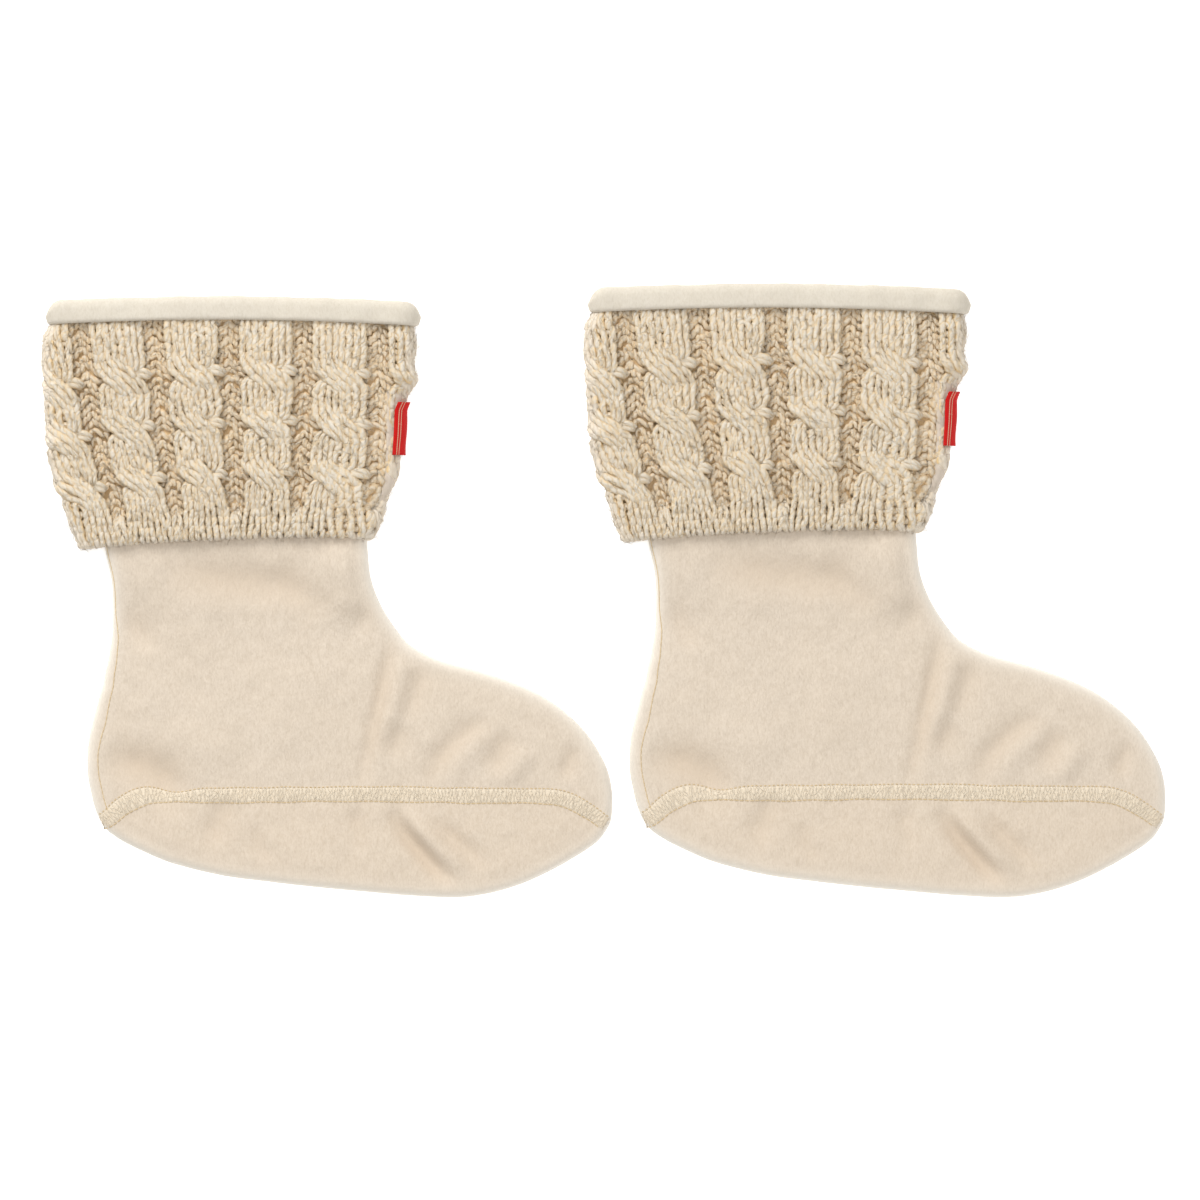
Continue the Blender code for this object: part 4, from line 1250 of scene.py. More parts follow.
@dataclass
class SewnSeams:
    """The overlocked sole seam and the plain back seam."""

    form: SockForm
    half_width: float = 2.6
    ridge: float = 0.34
    stitch_pitch: float = 0.60
    thread: float = 0.12
    needle: float = 0.165
    dip: float = 0.17
    # How far the seam sags, and where along the foot and over what length
    sag: tuple[float, float, float] = (0.9, 47.5, 7.5)
    widening: float = 0.75
    widest_x: float = 31.0
    narrowest_x: float = 48.0
    widening_reach: float = 7.0
    back_insets: tuple[tuple[float, float], ...] = (
        (26.0, 4.3), (42.0, 4.3), (52.0, 4.1), (62.0, 4.9), (83.0, 3.5), (94.0, 2.5), (102.0, 1.2),
        (120.0, 0.9),
    )

    def seam_frame(self, spacing: float) -> tuple[np.ndarray, np.ndarray]:
        """Places along the sole seam from edge to edge, and the direction up the foot at each.

        Args:
            spacing: Distance between places.

        Returns:
            Plan points and unit directions.
        """
        line = self.form.seam_line
        line = line[self.form.depth(line) > 0.05]
        travelled = distances(line)
        points = read_line(line, travelled, np.arange(0.0, travelled[-1], spacing))
        along = np.gradient(points, axis=0)
        along /= np.linalg.norm(along, axis=1, keepdims=True)
        up = np.column_stack([-along[:, 1], along[:, 0]])
        depth, middle, reach = self.sag
        sag = depth * np.exp(-((points[:, 0] - middle) / reach) ** 2)
        return points - sag[:, None] * up, up

    def ribbon(self, maker: MeshMaker, finishes: Finishes) -> bpy.types.Object:
        """The sole seam's raised allowance, on both layers."""
        corners, quads, start = [], [], 0
        shares = np.linspace(-1.0, 1.0, 11)
        points, up = self.seam_frame(0.9)
        width = self.width(points)
        plan = points[:, None, :] + shares[None, :, None] * width[:, None, None] * up[:, None, :]
        crown = self.ridge * np.sqrt(np.maximum(1.0 - shares ** 4, 0.0)) - 0.12
        for layer in Layer:
            face = self.form.face(plan, layer)
            face[..., 2] += crown[None, :] * layer.value
            face[..., 2] = np.maximum(face[..., 2], 0.0)
            corners.append(face.reshape(-1, 3))
            quads.append(maker.sheet_quads(len(points), len(shares), turned=layer is Layer.UNDER) + start)
            start += face.shape[0] * face.shape[1]
        return maker.piece("sole_seam", np.vstack(corners), np.vstack(quads), None, (finishes.seam,),
                           "fleece")

    def threads(self, plan: np.ndarray, layer: Layer, off: np.ndarray, radii: np.ndarray, lowest: float,
                sides: int) -> tuple[np.ndarray, np.ndarray, np.ndarray]:
        """Threads that lie on the cloth's face.

        Args:
            plan: Plan points, one row a thread.
            layer: The layer that they lie on.
            off: Distance off the face along a thread.
            radii: Radius at each point.
            lowest: How near to the surface that the sock lies on a thread's middle may come.
            sides: Number of sides of a thread.

        Returns:
            Corners, faces and texture places.
        """
        centres = self.form.face(plan, layer)
        centres[..., 2] += off * layer.value
        centres[..., 2] = np.maximum(centres[..., 2], lowest)
        normals = np.zeros_like(centres)
        normals[..., 2] = layer.value
        return MeshMaker.tubes(centres, normals, radii, sides)

    def width(self, points: np.ndarray) -> np.ndarray:
        """Half width of the seam at places along it: wide at the heel's bend, narrow just past it."""
        x = points[:, 0]
        wide = np.exp(-((x - self.widest_x) / self.widening_reach) ** 2)
        narrow = np.exp(-((x - self.narrowest_x) / self.widening_reach) ** 2)
        heel = self.widening * wide - self.widening * narrow
        return self.half_width + heel + 0.14 * soft_noise(points, 16.0, 41)

    def overlock(self, maker: MeshMaker, finishes: Finishes) -> bpy.types.Object:
        """Cross threads over the sole seam, one slanted stitch after another."""
        parts = []
        shares = np.linspace(-1.0, 1.0, 7)
        crown = self.ridge * np.sqrt(np.maximum(1.0 - shares ** 4, 0.0)) - 0.02
        random = np.random.default_rng(17)
        points, up = self.seam_frame(self.stitch_pitch)
        along = np.column_stack([up[:, 1], -up[:, 0]])
        for layer in Layer:
            slant = self.stitch_pitch * (0.9 * np.where(np.arange(len(points)) % 2, 1.0, -1.0)
                                         + 0.8 * random.standard_normal(len(points)))
            width = self.width(points) * (1.0 + 0.05 * random.standard_normal(len(points)))
            weave = 0.35 * self.stitch_pitch * random.standard_normal((len(points), len(shares)))
            plan = (points[:, None, :] + shares[None, :, None] * width[:, None, None] * up[:, None, :]
                    + (shares[None, :] * slant[:, None] + weave)[:, :, None] * along[:, None, :])
            uneven = 1.0 + 0.12 * random.standard_normal((len(points), 1))
            radii = self.thread * uneven * np.ones((1, len(shares)))
            parts.append(self.threads(plan, layer, crown[None, :], radii, self.thread, 4))
        return maker.piece("overlock_stitches", *maker.joined(parts), (finishes.thread,), "fleece")

    def running(self, name: str, lines: Sequence[tuple[np.ndarray, Layer]], stitch: float, gap: float,
                material: bpy.types.Material, maker: MeshMaker) -> bpy.types.Object:
        """A line of short straight stitches on the cloth's face.

        Args:
            name: The piece's name.
            lines: Plan lines to sew along, each with its layer.
            stitch: Length of a stitch.
            gap: Space between two stitches.
            material: The thread's material.
            maker: Makes the pieces of this sock.

        Returns:
            The piece.
        """
        parts = []
        dip = self.dip * (2.0 * np.linspace(0.0, 1.0, 6) - 1.0) ** 4
        for line, layer in lines:
            travelled = distances(line)
            first = np.arange(0.0, travelled[-1] - stitch, stitch + gap)
            at = first[:, None] + np.linspace(0.0, stitch, 6)[None, :]
            plan = read_line(line, travelled, at)
            radii = np.full(plan.shape[:2], self.needle)
            parts.append(self.threads(plan, layer, self.needle * 0.5 - dip, radii, self.needle, 5))
        return maker.piece(name, *maker.joined(parts), (material,), "fleece")

    def build(self, maker: MeshMaker, finishes: Finishes) -> list[bpy.types.Object]:
        """Builds the seams.

        Args:
            maker: Makes the pieces of this sock.
            finishes: The pair's materials.

        Returns:
            The pieces.
        """
        form = self.form
        points, up = self.seam_frame(1.0)
        width = self.width(points)[:, None] + 0.1
        lower = [(points - up * width, layer) for layer in Layer]
        upper = [(points + up * width, layer) for layer in Layer]
        back = []
        for y in np.arange(form.hem_y + 4.0, form.seam_height(26.0) - 4.0, -1.0):
            x = np.arange(0.0, 60.0, 0.25)
            row = np.column_stack([x, np.full(len(x), y)])
            inset = np.interp(y, *zip(*self.back_insets))
            back.append(FleeceUpper.reach(row, form.depth(row), np.array([inset]))[0])
        return [
            self.ribbon(maker, finishes),
            self.overlock(maker, finishes),
            self.running("sole_needle_line", lower, 1.5, 0.35, finishes.needle, maker),
            self.running("sole_upper_line", upper, 0.8, 0.7, finishes.needle, maker),
            self.running("back_seam_stitches", [(np.array(back), Layer.TOP)], 2.2, 0.08, finishes.needle,
                         maker),
        ]


@dataclass
class CuffSurface:
    """The knitted tube's middle face, and what stands off it."""

    form: SockForm
    edge: float = 6.5
    gutter_t: float = 5.7
    under_t: float = 5.15
    edge_rise: float = 1.3
    hem_round: float = 1.9
    hem_turn: float = 2.7
    length: float = 78.2
    # Share of the way down, back edge and front edge
    edges: tuple[tuple[float, float, float], ...] = (
        (0.00, 1.2, 134.8), (0.08, 0.4, 134.6), (0.17, 0.0, 134.0), (0.25, 0.5, 134.9), (0.33, 0.9, 133.0),
        (0.40, 0.9, 131.2), (0.50, 1.4, 131.0), (0.61, 2.4, 130.6), (0.72, 4.0, 129.4), (0.82, 6.4, 125.8),
        (0.90, 9.2, 123.6), (0.96, 11.6, 121.4), (1.00, 13.6, 119.4),
    )
    hem_bow: tuple[float, float, float] = (124.6, 129.6, 129.6)

    @property
    def side_radius(self) -> float:
        """Mean radius of the tube's rounded sides."""
        return (self.edge + self.gutter_t) / 2

    @property
    def middle_z(self) -> float:
        """Height of the slit inside the cuff."""
        return self.form.knit_under + self.form.seam_gap + self.form.leg_t

    def sides(self, down: np.ndarray) -> tuple[np.ndarray, np.ndarray]:
        """Where the flat top ends at the back and at the front, at shares of the way down."""
        shares, back, front = (np.array(column) for column in zip(*self.edges))
        inset = self.edge_rise + self.edge
        return np.interp(down, shares, back) + inset, np.interp(down, shares, front) - inset

    def around(self, down: np.ndarray) -> np.ndarray:
        """Length once round the tube, at shares of the way down."""
        left, right = self.sides(down)
        return 2.0 * (right - left) + 2.0 * math.pi * self.side_radius

    def height(self, x: np.ndarray, down: np.ndarray) -> np.ndarray:
        """Height above the sole of a row, at shares of the way down."""
        form = self.form
        top = form.mouth_y - form.band_depth - form.seam_gap + form.bow(form.band_bow, x)
        return top + down * (form.bow(self.hem_bow, x) - top)

    def put(self, s: np.ndarray, down: np.ndarray, out: np.ndarray) -> tuple[np.ndarray, np.ndarray]:
        """Places points of the knit in the sock.

        Args:
            s: Places round the tube: x on the top layer, and on past the sides.
            down: Shares of the way down, beyond 1 round the hem.
            out: Distances off the face between two cables.

        Returns:
            The points, and the direction off the cloth at each.
        """
        s, down, out = np.broadcast_arrays(s, down, out)
        bend_from = 1.0 - self.hem_round / self.length
        turn = np.clip((down - bend_from) * self.length / self.hem_round, 0.0, self.hem_turn)
        straight = np.minimum(down, bend_from)
        left, right = self.sides(straight)
        middle, around = (left + right) / 2, self.around(straight)
        s = middle + np.mod(s - middle + around / 2, around) - around / 2
        radius = self.side_radius
        half_turn = math.pi * radius
        to_back, to_front = left - s, s - right
        past = np.maximum(np.maximum(to_back, to_front), 0.0)
        angle = np.minimum(past, half_turn) / radius
        flat = np.maximum(past - half_turn, 0.0)
        toward = np.where(to_back > 0.0, -1.0, 1.0)
        side_x = np.where(to_back > 0.0, left, right)
        depth = out - self.hem_round * (1.0 - np.cos(turn))
        x = np.where(past > 0.0, side_x + toward * ((self.edge + depth) * np.sin(angle) - flat), s)
        thick = np.where(angle > math.pi / 2, self.under_t, self.gutter_t)
        z = self.middle_z + (thick + depth) * np.cos(angle)
        y = self.height(x, straight) - self.hem_round * np.sin(turn)
        normal = (toward * np.sin(angle) * np.cos(turn), -np.sin(turn), np.cos(angle) * np.cos(turn))
        return np.stack([x, y, z], -1), np.stack(normal, -1)


class Strand(Enum):
    """The two strands of a cable, by side: the left one above a crossing passes in front."""

    FRONT = -1
    BACK = 1


@dataclass(frozen=True)
class Braid:
    """Where a cable's two strands lie at some levels, in pitches from the cable's middle."""

    front: np.ndarray
    back: np.ndarray
    front_half: np.ndarray
    back_half: np.ndarray
    over: np.ndarray
    rib: np.ndarray

    def strand(self, strand: Strand) -> tuple[np.ndarray, np.ndarray]:
        """Middle and half width of a strand."""
        return (self.front, self.front_half) if strand is Strand.FRONT else (self.back, self.back_half)

    def edge(self, side: int) -> np.ndarray:
        """Outer edge of both strands together on one side, -1 for the left and 1 for the right."""
        reach = np.maximum(side * self.front + self.front_half, side * self.back + self.back_half)
        return side * reach


@dataclass
class YarnRun:
    """A stretch of yarn: places round the tube and down it, heights, radii, and whether it lies deep."""

    s: np.ndarray
    down: np.ndarray
    out: np.ndarray
    radius: np.ndarray
    deep: bool = False


@dataclass(frozen=True)
class YarnPatch:
    """A stretch of neighbouring cables whose yarn is one piece, and how finely it is drawn."""

    name: str
    first: int
    last: int
    samples: int
    sides: int
    seed: int


@dataclass
class KnitCuff:
    """The cable-knit cuff, stitched from one yarn a course round the tube."""

    surface: CuffSurface
    courses: int = 28
    yarn: float = 1.33
    arm_yarn: float = 1.13
    loop_rise: float = 0.6
    loop_height: float = 0.98
    loop_lean: float = 0.155
    first_down: float = -0.012
    course_shift: float = 0.35
    usual_pitch: float = 27.0
    pitch_limits: tuple[float, float] = (0.9, 1.32)
    flatness: float = 0.8
    arm_rise: float = 0.45
    strand_place: float = 0.18
    front_widening: float = 0.5
    back_narrowing: float = 0.3
    cable_half: float = 0.41
    cable_rise: float = 2.1
    front_rise: float = 0.75
    dive: float = 2.6
    gutter_face: float = -0.9
    pocket: float = 0.8
    pocket_at: float = 0.845
    hem_rise: float = 1.85
    crossings: tuple[float, ...] = (0.249, 0.485, 0.719)
    front_reach: float = 0.086
    back_reach: float = 0.042
    crossing_bulge: float = 1.5
    rib_from: float = 0.82
    rib_full: float = 0.92
    rib_widening: float = 0.14
    cable_ends: float = 0.28
    # Middle of each cable that shows, at the first three of these levels; the last level is the hem's edge
    cable_levels: tuple[float, float, float, float] = (0.0, 0.5, 0.86, 1.0)
    cables: tuple[tuple[float, float, float], ...] = (
        (-0.4, 7.2, 17.3), (26.6, 31.0, 38.2), (53.6, 55.4, 58.7), (80.4, 81.4, 81.0), (107.3, 106.6, 102.6),
        (134.6, 136.0, 138.0),
    )
    lower: tuple[float, ...] = (0.034, 0.006, 0.0, -0.003, 0.002, 0.010)
    under_cables: int = 4
    float_yarn: float = 1.22
    float_apart: float = 0.0105
    float_level: float = -0.019
    backing_sunk: float = -2.75
    backing_low: float = 0.4
    fibres: int = 4000
    fibre: float = 0.075
    roughness: float = 0.07
    wander: float = 0.28
    # Upward share of a yarn's face below which it takes the yarn painted paler at the sides
    side_tilt: float = 0.72
    cut: tuple[float, float] = (0.270, 0.082)
    paths: list[tuple[np.ndarray, np.ndarray, np.ndarray]] = field(default_factory=list)

    @property
    def tall(self) -> float:
        """Height of a stitch above and below its course, as a share of the cuff's length."""
        return self.loop_height / (self.courses - 0.5)

    def centres(self, down: np.ndarray) -> np.ndarray:
        """Places round the tube of every cable's middle, from the underside's front to the front seam.

        Args:
            down: Shares of the way down, in one axis.

        Returns:
            One column a cable.
        """
        shown = []
        for top, half, hem in self.cables:
            shown.append(np.interp(down, self.cable_levels, (top, half, hem, hem + 0.2 * (hem - half))))
        around = self.surface.around(down)
        first, last = shown[0], shown[-1] - around
        gaps = self.under_cables + 1
        hidden = [first + (last - first) * k / gaps for k in range(gaps, 0, -1)]
        return np.stack(hidden + shown, -1)

    def pitches(self, down: np.ndarray, cable: int) -> tuple[np.ndarray, np.ndarray, np.ndarray]:
        """A cable's middle, and the distances to the cables behind and ahead of it."""
        every = self.centres(down)
        middle = every[:, cable]
        behind = middle - every[:, cable - 1] if cable > 0 else every[:, 1] - middle
        ahead = every[:, cable + 1] - middle if cable + 1 < every.shape[1] else behind
        return middle, behind, ahead

    def nearest(self, level: float, cable: int) -> float:
        """The crossing of a cable that a level belongs to."""
        shift = self.lower[max(cable - self.under_cables - 1, 0)] if cable > self.under_cables else 0.0
        return min((crossing + shift for crossing in self.crossings), key=lambda place: abs(place - level))

    def braid(self, down: np.ndarray, nearest: float) -> Braid:
        """Works out how a cable's strands lie at some levels.

        Args:
            down: Shares of the way down.
            nearest: The crossing that they belong to.

        Returns:
            The braid.
        """
        rib = smoothstep(self.rib_from, self.rib_full, down)
        rest = self.strand_place * (1.0 + self.rib_widening * rib)
        swing = np.clip((down - nearest) / self.front_reach, -1.0, 1.0) * math.pi / 2
        tuck = np.clip((down - nearest) / self.back_reach, -1.0, 1.0) * math.pi / 2
        over = np.maximum(np.cos(swing), 0.0) ** self.crossing_bulge * (1.0 - rib)
        return Braid(rest * np.sin(swing), -rest * np.sin(tuck), rest * (1.0 + self.front_widening * over),
                     rest * (1.0 - self.back_narrowing * over), over, rib)

    def face(self, place: np.ndarray, braid: Braid, cable: int, down: np.ndarray, strand: Strand
             ) -> np.ndarray:
        """Height of a cable's face over the cloth between two cables.

        Args:
            place: Places in pitches from the cable's middle.
            braid: The strands at the same levels.
            cable: The cable's number.
            down: Shares of the way down.
            strand: The strand that the stitch belongs to.

        Returns:
            The heights.
        """
        tucked = 0.3 + 0.7 * smoothstep(-0.01, 0.055, down)
        to_edge = np.clip(np.abs(place) / self.cable_half, 0.0, 0.97)
        body = tucked * self.cable_rise * np.sqrt(1.0 - to_edge ** 4)
        body = body - 0.3 * np.exp(-(place / 0.035) ** 2) * (1.0 - braid.over)
        away = (place - braid.front) / braid.front_half
        if strand is Strand.FRONT:
            swell = np.sqrt(1.0 - np.clip(np.abs(away), 0.0, 0.97) ** 2)
            body = body + braid.over * self.front_rise * swell
        else:
            covered = smoothstep(1.22, 0.72, np.abs(away)) * smoothstep(0.0, 0.35, braid.over)
            body = body - self.dive * covered
        if cable == len(self.cables) + self.under_cables:
            body = body * (1.0 - 0.8 * smoothstep(self.cable_ends - 0.05, self.cable_ends + 0.05, down))
        return body * (1.0 - braid.rib) + self.hem_rise * braid.rib

    def loop(self, strand: Strand, side: int, cable: int, level: float, nearest: float, theta: np.ndarray,
             random: np.random.Generator) -> YarnRun:
        """One plain stitch of a cable: up one leg, over its head and down the other leg.

        Args:
            strand: The strand that it belongs to.
            side: Which of the strand's two columns of stitches, -1 or 1.
            cable: The cable's number, counted as in centres().
            level: The course's share of the way down.
            nearest: The crossing that the course belongs to.
            theta: How far along the loop each sample is, up to one turn.
            random: Source of the hand-made unevenness.

        Returns:
            The stitch.
        """
        jitter = random.standard_normal(8)
        down = level + self.tall * ((1.0 + 0.07 * jitter[0]) * np.cos(theta) + 0.07 * jitter[1])
        down = np.maximum(down, self.first_down)
        middle, behind, ahead = self.pitches(down, cable)
        braid = self.braid(down, nearest)
        centre, half = braid.strand(strand)
        lean = self.loop_lean * (1.0 + 0.25 * jitter[2])
        leg = np.where(theta < math.pi, jitter[3], jitter[4]) * np.sin(theta) ** 2
        across = theta / (2.0 * math.pi) - 0.5 + lean * np.sin(2.0 * theta) + 0.055 * leg
        place = centre + half * (0.5 * side + across)
        s = middle + place * np.where(place < 0.0, behind, ahead)
        wide = np.clip(np.where(place < 0.0, behind, ahead) / self.usual_pitch, *self.pitch_limits)
        spread = np.clip(half / self.strand_place, 0.85, 1.22) * (1.0 - 0.22 * braid.rib)
        radius = self.yarn * (1.0 + 0.075 * jitter[5]) * wide * spread
        rise = self.loop_rise * (1.0 + 0.7 * braid.rib)
        out = self.face(place, braid, cable, down, strand) - radius - rise - rise * np.cos(2.0 * theta)
        return YarnRun(s, down, out + 0.13 * jitter[6] + 0.12 * leg, radius * np.ones_like(s))

    def arm(self, side: int, cable: int, level: float, nearest: float, theta: np.ndarray,
            random: np.random.Generator) -> YarnRun:
        """Half of a purl stitch, from the cable's edge up to the middle of the gutter beside it.

        Args:
            side: Which side of the cable, -1 or 1.
            cable: The cable's number.
            level: The course's share of the way down.
            nearest: The crossing that the course belongs to.
            theta: How far along each sample is, 0 at the cable and half a turn in the gutter's middle.
            random: Source of the unevenness.

        Returns:
            The half stitch.
        """
        jitter = random.standard_normal(5)
        hem = float(smoothstep(self.rib_from + 0.02, self.rib_full, level))
        wave = 0.36 * np.sin(4.0 * theta + 0.8 * jitter[4]) + 0.20 * jitter[0] * np.sin(theta)
        climb = 0.35 * (1.0 - hem) + (0.42 + 0.58 * hem) * np.cos(theta) + (1.0 - 0.8 * hem) * wave
        down = level + self.tall * climb
        down = np.maximum(down, self.first_down)
        middle, behind, ahead = self.pitches(down, cable)
        braid = self.braid(down, nearest)
        edge = braid.edge(side)
        share = theta / math.pi
        place = edge + (0.5 * side - edge) * (share + 0.13 * jitter[1] * np.sin(theta) ** 2)
        pitch = behind if side < 0 else ahead
        wide = np.clip(pitch / self.usual_pitch, *self.pitch_limits)
        radius = self.arm_yarn * (1.0 + 0.13 * jitter[2]) * wide
        full = smoothstep(self.rib_from + 0.04, self.rib_full, down)
        rise = self.arm_rise + (self.loop_rise - self.arm_rise) * full
        sunk = self.gutter_face - self.pocket * np.exp(-((down - self.pocket_at) / 0.035) ** 2)
        face = sunk + (self.hem_rise - 0.1 - sunk) * full
        out = face - radius - rise - rise * np.cos((4.0 - 2.0 * hem) * theta)
        out = out + 0.30 * (1.0 - hem) * jitter[3] * np.sin(theta)
        return YarnRun(middle + place * pitch, down, out, radius * np.ones_like(place), hem < 0.5)

    def course(self, number: float, samples: int, first: int, last: int, random: np.random.Generator
               ) -> tuple[YarnRun, np.ndarray]:
        """The yarn of one course, through the stitches of some of the cables.

        Args:
            number: The course's place down the cuff, in courses.
            samples: Points a stitch.
            first: First cable, counted as in centres().
            last: Last cable.
            random: Source of the hand-made unevenness.

        Returns:
            The yarn, and which of its points lie deep in a gutter.
        """
        level = number / (self.courses - 0.5)
        turn = (np.arange(samples) + 0.5) / samples * 2.0 * math.pi
        arm_samples = samples * 6 // 7
        half_turn = (np.arange(arm_samples) + 0.5) / arm_samples * math.pi
        runs = []
        for cable in range(first, last + 1):
            nearest = self.nearest(level, cable)
            order = (Strand.FRONT, Strand.BACK) if level < nearest else (Strand.BACK, Strand.FRONT)
            runs.append(self.arm(-1, cable, level, nearest, half_turn[::-1], random))
            for strand in order:
                for side in (-1, 1):
                    runs.append(self.loop(strand, side, cable, level, nearest, turn, random))
            runs.append(self.arm(1, cable, level, nearest, half_turn, random))
        s, down, out, radius = (np.concatenate([getattr(run, part) for run in runs])
                                for part in ("s", "down", "out", "radius"))
        deep = np.concatenate([np.full(len(run.s), run.deep) for run in runs])
        for values, times in ((out, 1), (radius, 3), (s, 1), (down, 1)):
            for _ in range(times):
                values[1:-1] = 0.25 * values[:-2] + 0.5 * values[1:-1] + 0.25 * values[2:]
        radius = radius * (1.0 + 0.6 * self.roughness * random.standard_normal(len(s)))
        out = out + 0.5 * self.roughness * random.standard_normal(len(s))
        plan = np.stack([s, down * self.surface.length], -1)
        s = s + self.roughness * random.standard_normal(len(s)) + self.wander * soft_noise(plan, 13.0, 81)
        drift = 0.9 * self.wander * soft_noise(plan, 17.0, 82) / self.surface.length
        down = down + drift * smoothstep(0.0, 0.1, down)
        out = out + 0.16 * soft_noise(plan, 15.0, 83)
        return YarnRun(s, down, out, radius), deep

    def yarn_piece(self, patch: YarnPatch, maker: MeshMaker, finishes: Finishes) -> bpy.types.Object:
        """The yarn of every course through some of the cables, as one piece.

        Args:
            patch: The cables, and how finely their yarn is drawn.
            maker: Makes the pieces of this sock.
            finishes: The pair's materials.

        Returns:
            The piece.
        """
        random = np.random.default_rng(patch.seed)
        rows = [self.course(n + self.course_shift, patch.samples, patch.first, patch.last, random)
                for n in range(-1, self.courses)]
        s, down, out, radius = (np.array([getattr(run, part) for run, _ in rows])
                                for part in ("s", "down", "out", "radius"))
        deep = np.array([mask for _, mask in rows])
        centres, normals = self.surface.put(s, down, out)
        self.paths.append((centres, normals, radius))
        corners, quads, uvs = maker.tubes(centres, normals, radius, patch.sides, self.flatness)
        corners[:, 2] = np.maximum(corners[:, 2], 0.02)
        yarns = (finishes.yarn, finishes.shaded_deep_yarn, finishes.lit_side_yarn)
        piece = maker.piece(patch.name, corners, quads, uvs, yarns, "knit")
        # Painted light and shade: faces turned sideways take the paler side yarn, and faces deep in a gutter
        # take the darker shaded yarn
        at_side = np.abs(normals[..., 2]) < self.side_tilt
        choice = np.where(at_side, 2, np.where(deep, 1, 0))
        shades = np.repeat(choice[:, :-1].ravel(), patch.sides).astype(np.int32)
        piece.data.polygons.foreach_set("material_index", shades)
        return piece

    def floats(self, maker: MeshMaker, finishes: Finishes) -> bpy.types.Object:
        """The long loose stitch that stands out beside each crossing, two strands side by side."""
        random = np.random.default_rng(91)
        share = np.linspace(0.0, 1.0, 15)
        crest = np.sin(np.clip(share, 0.03, 0.97) * math.pi)
        rows = []
        for cable in range(self.under_cables, self.under_cables + len(self.cables)):
            for crossing in self.crossings:
                jitter = random.standard_normal(4)
                level = self.nearest(crossing, cable) + self.float_level + 0.003 * jitter[0]
                down = level - 0.008 * crest + 0.010 * share
                middle, _, ahead = self.pitches(down, cable)
                place = 0.20 + (0.20 + 0.015 * jitter[1]) * share
                out = -2.5 + (2.35 + 0.2 * jitter[2]) * crest ** 0.3 - 0.5 * share
                thick = self.float_yarn * (1.0 + 0.06 * jitter[3]) * crest ** 0.16
                for side in (-1.0, 1.0):
                    apart = side * self.float_apart * (0.55 + 0.45 * crest)
                    rows.append((middle + (place - 0.012 * side) * ahead, down + apart, out + 0.45, thick))
        s, down, out, radius = (np.array(part) for part in zip(*rows))
        centres, normals = self.surface.put(s, down, out)
        corners, quads, uvs = maker.tubes(centres, normals, radius, 9)
        return maker.piece("cuff_crossing_stitches", corners, quads, uvs, (finishes.yarn,), "knit")

    def loose_fibres(self, maker: MeshMaker, finishes: Finishes) -> bpy.types.Object:
        """Fine fibres that leave the yarn's face and curl over it."""
        random = np.random.default_rng(95)
        shown = self.paths[1:]
        weights = np.array([part[0].shape[1] for part in shown], float)
        rows = []
        for part, count in zip(shown, (weights / weights.sum() * self.fibres).astype(int)):
            centres, normals, radius = part
            along = np.gradient(centres, axis=1)
            i = random.integers(0, centres.shape[0], count)
            j = random.integers(1, centres.shape[1] - 1, count)
            forward = along[i, j] / (np.linalg.norm(along[i, j], axis=1, keepdims=True) + 1e-9)
            across = np.cross(forward, normals[i, j])
            across /= np.linalg.norm(across, axis=1, keepdims=True) + 1e-9
            up = np.cross(across, forward)
            turn = np.radians(random.uniform(20.0, 160.0, count))[:, None]
            off = np.cos(turn) * across + np.sin(turn) * up
            round_way = -np.sin(turn) * across + np.cos(turn) * up
            slant = random.normal(0.5, 0.45, count)[:, None]
            way = np.where(random.random(count) < 0.5, -1.0, 1.0)[:, None]
            heading = way * (np.cos(slant) * forward + np.sin(slant) * round_way)
            length = random.uniform(1.6, 4.4, count)[:, None]
            lift = random.uniform(0.05, 1.0, count)[:, None] ** 2
            curl = random.normal(0.0, 0.45, count)[:, None]
            start = centres[i, j] + 0.95 * radius[i, j][:, None] * off
            rows.append(np.stack([start + length * share * heading + (lift * share ** 1.5) * off
                                  + curl * share ** 2 * round_way for share in (0.0, 0.34, 0.67, 1.0)], 1))
        points = np.concatenate(rows)
        points[..., 2] = np.maximum(points[..., 2], 0.1)
        normals = np.zeros_like(points)
        normals[..., 2] = 1.0
        radii = self.fibre * np.broadcast_to(np.array((1.0, 0.95, 0.8, 0.35)), points.shape[:2])
        corners, quads, uvs = maker.tubes(points, normals, radii, 3)
        return maker.piece("cuff_loose_fibres", corners, quads, uvs, (finishes.yarn,), "knit")

    def backing(self, maker: MeshMaker, finishes: Finishes) -> bpy.types.Object:
        """The cloth of the cuff behind its stitches, one closed ring a row; its dark colour is painted shade.
        """
        levels = np.concatenate([np.linspace(0.0, 0.97, 40), np.linspace(0.98, 1.02, 7)])
        rows = []
        for level in levels:
            around = float(self.surface.around(level))
            left = float(self.surface.sides(level)[0])
            s = left + around * np.linspace(0.0, 1.0, 181)[:-1]
            s = np.where(s > left + around / 2 + 60.0, s - around, s)
            points, _ = self.surface.put(s, level, self.backing_sunk)
            rows.append(points)
        grid = np.array(rows)
        grid[..., 2] = np.maximum(grid[..., 2], self.backing_low)
        quads = maker.sheet_quads(len(grid), grid.shape[1], closed=True, turned=True)
        return maker.piece("cuff_backing", grid, quads, None, (finishes.backing,), "knit")

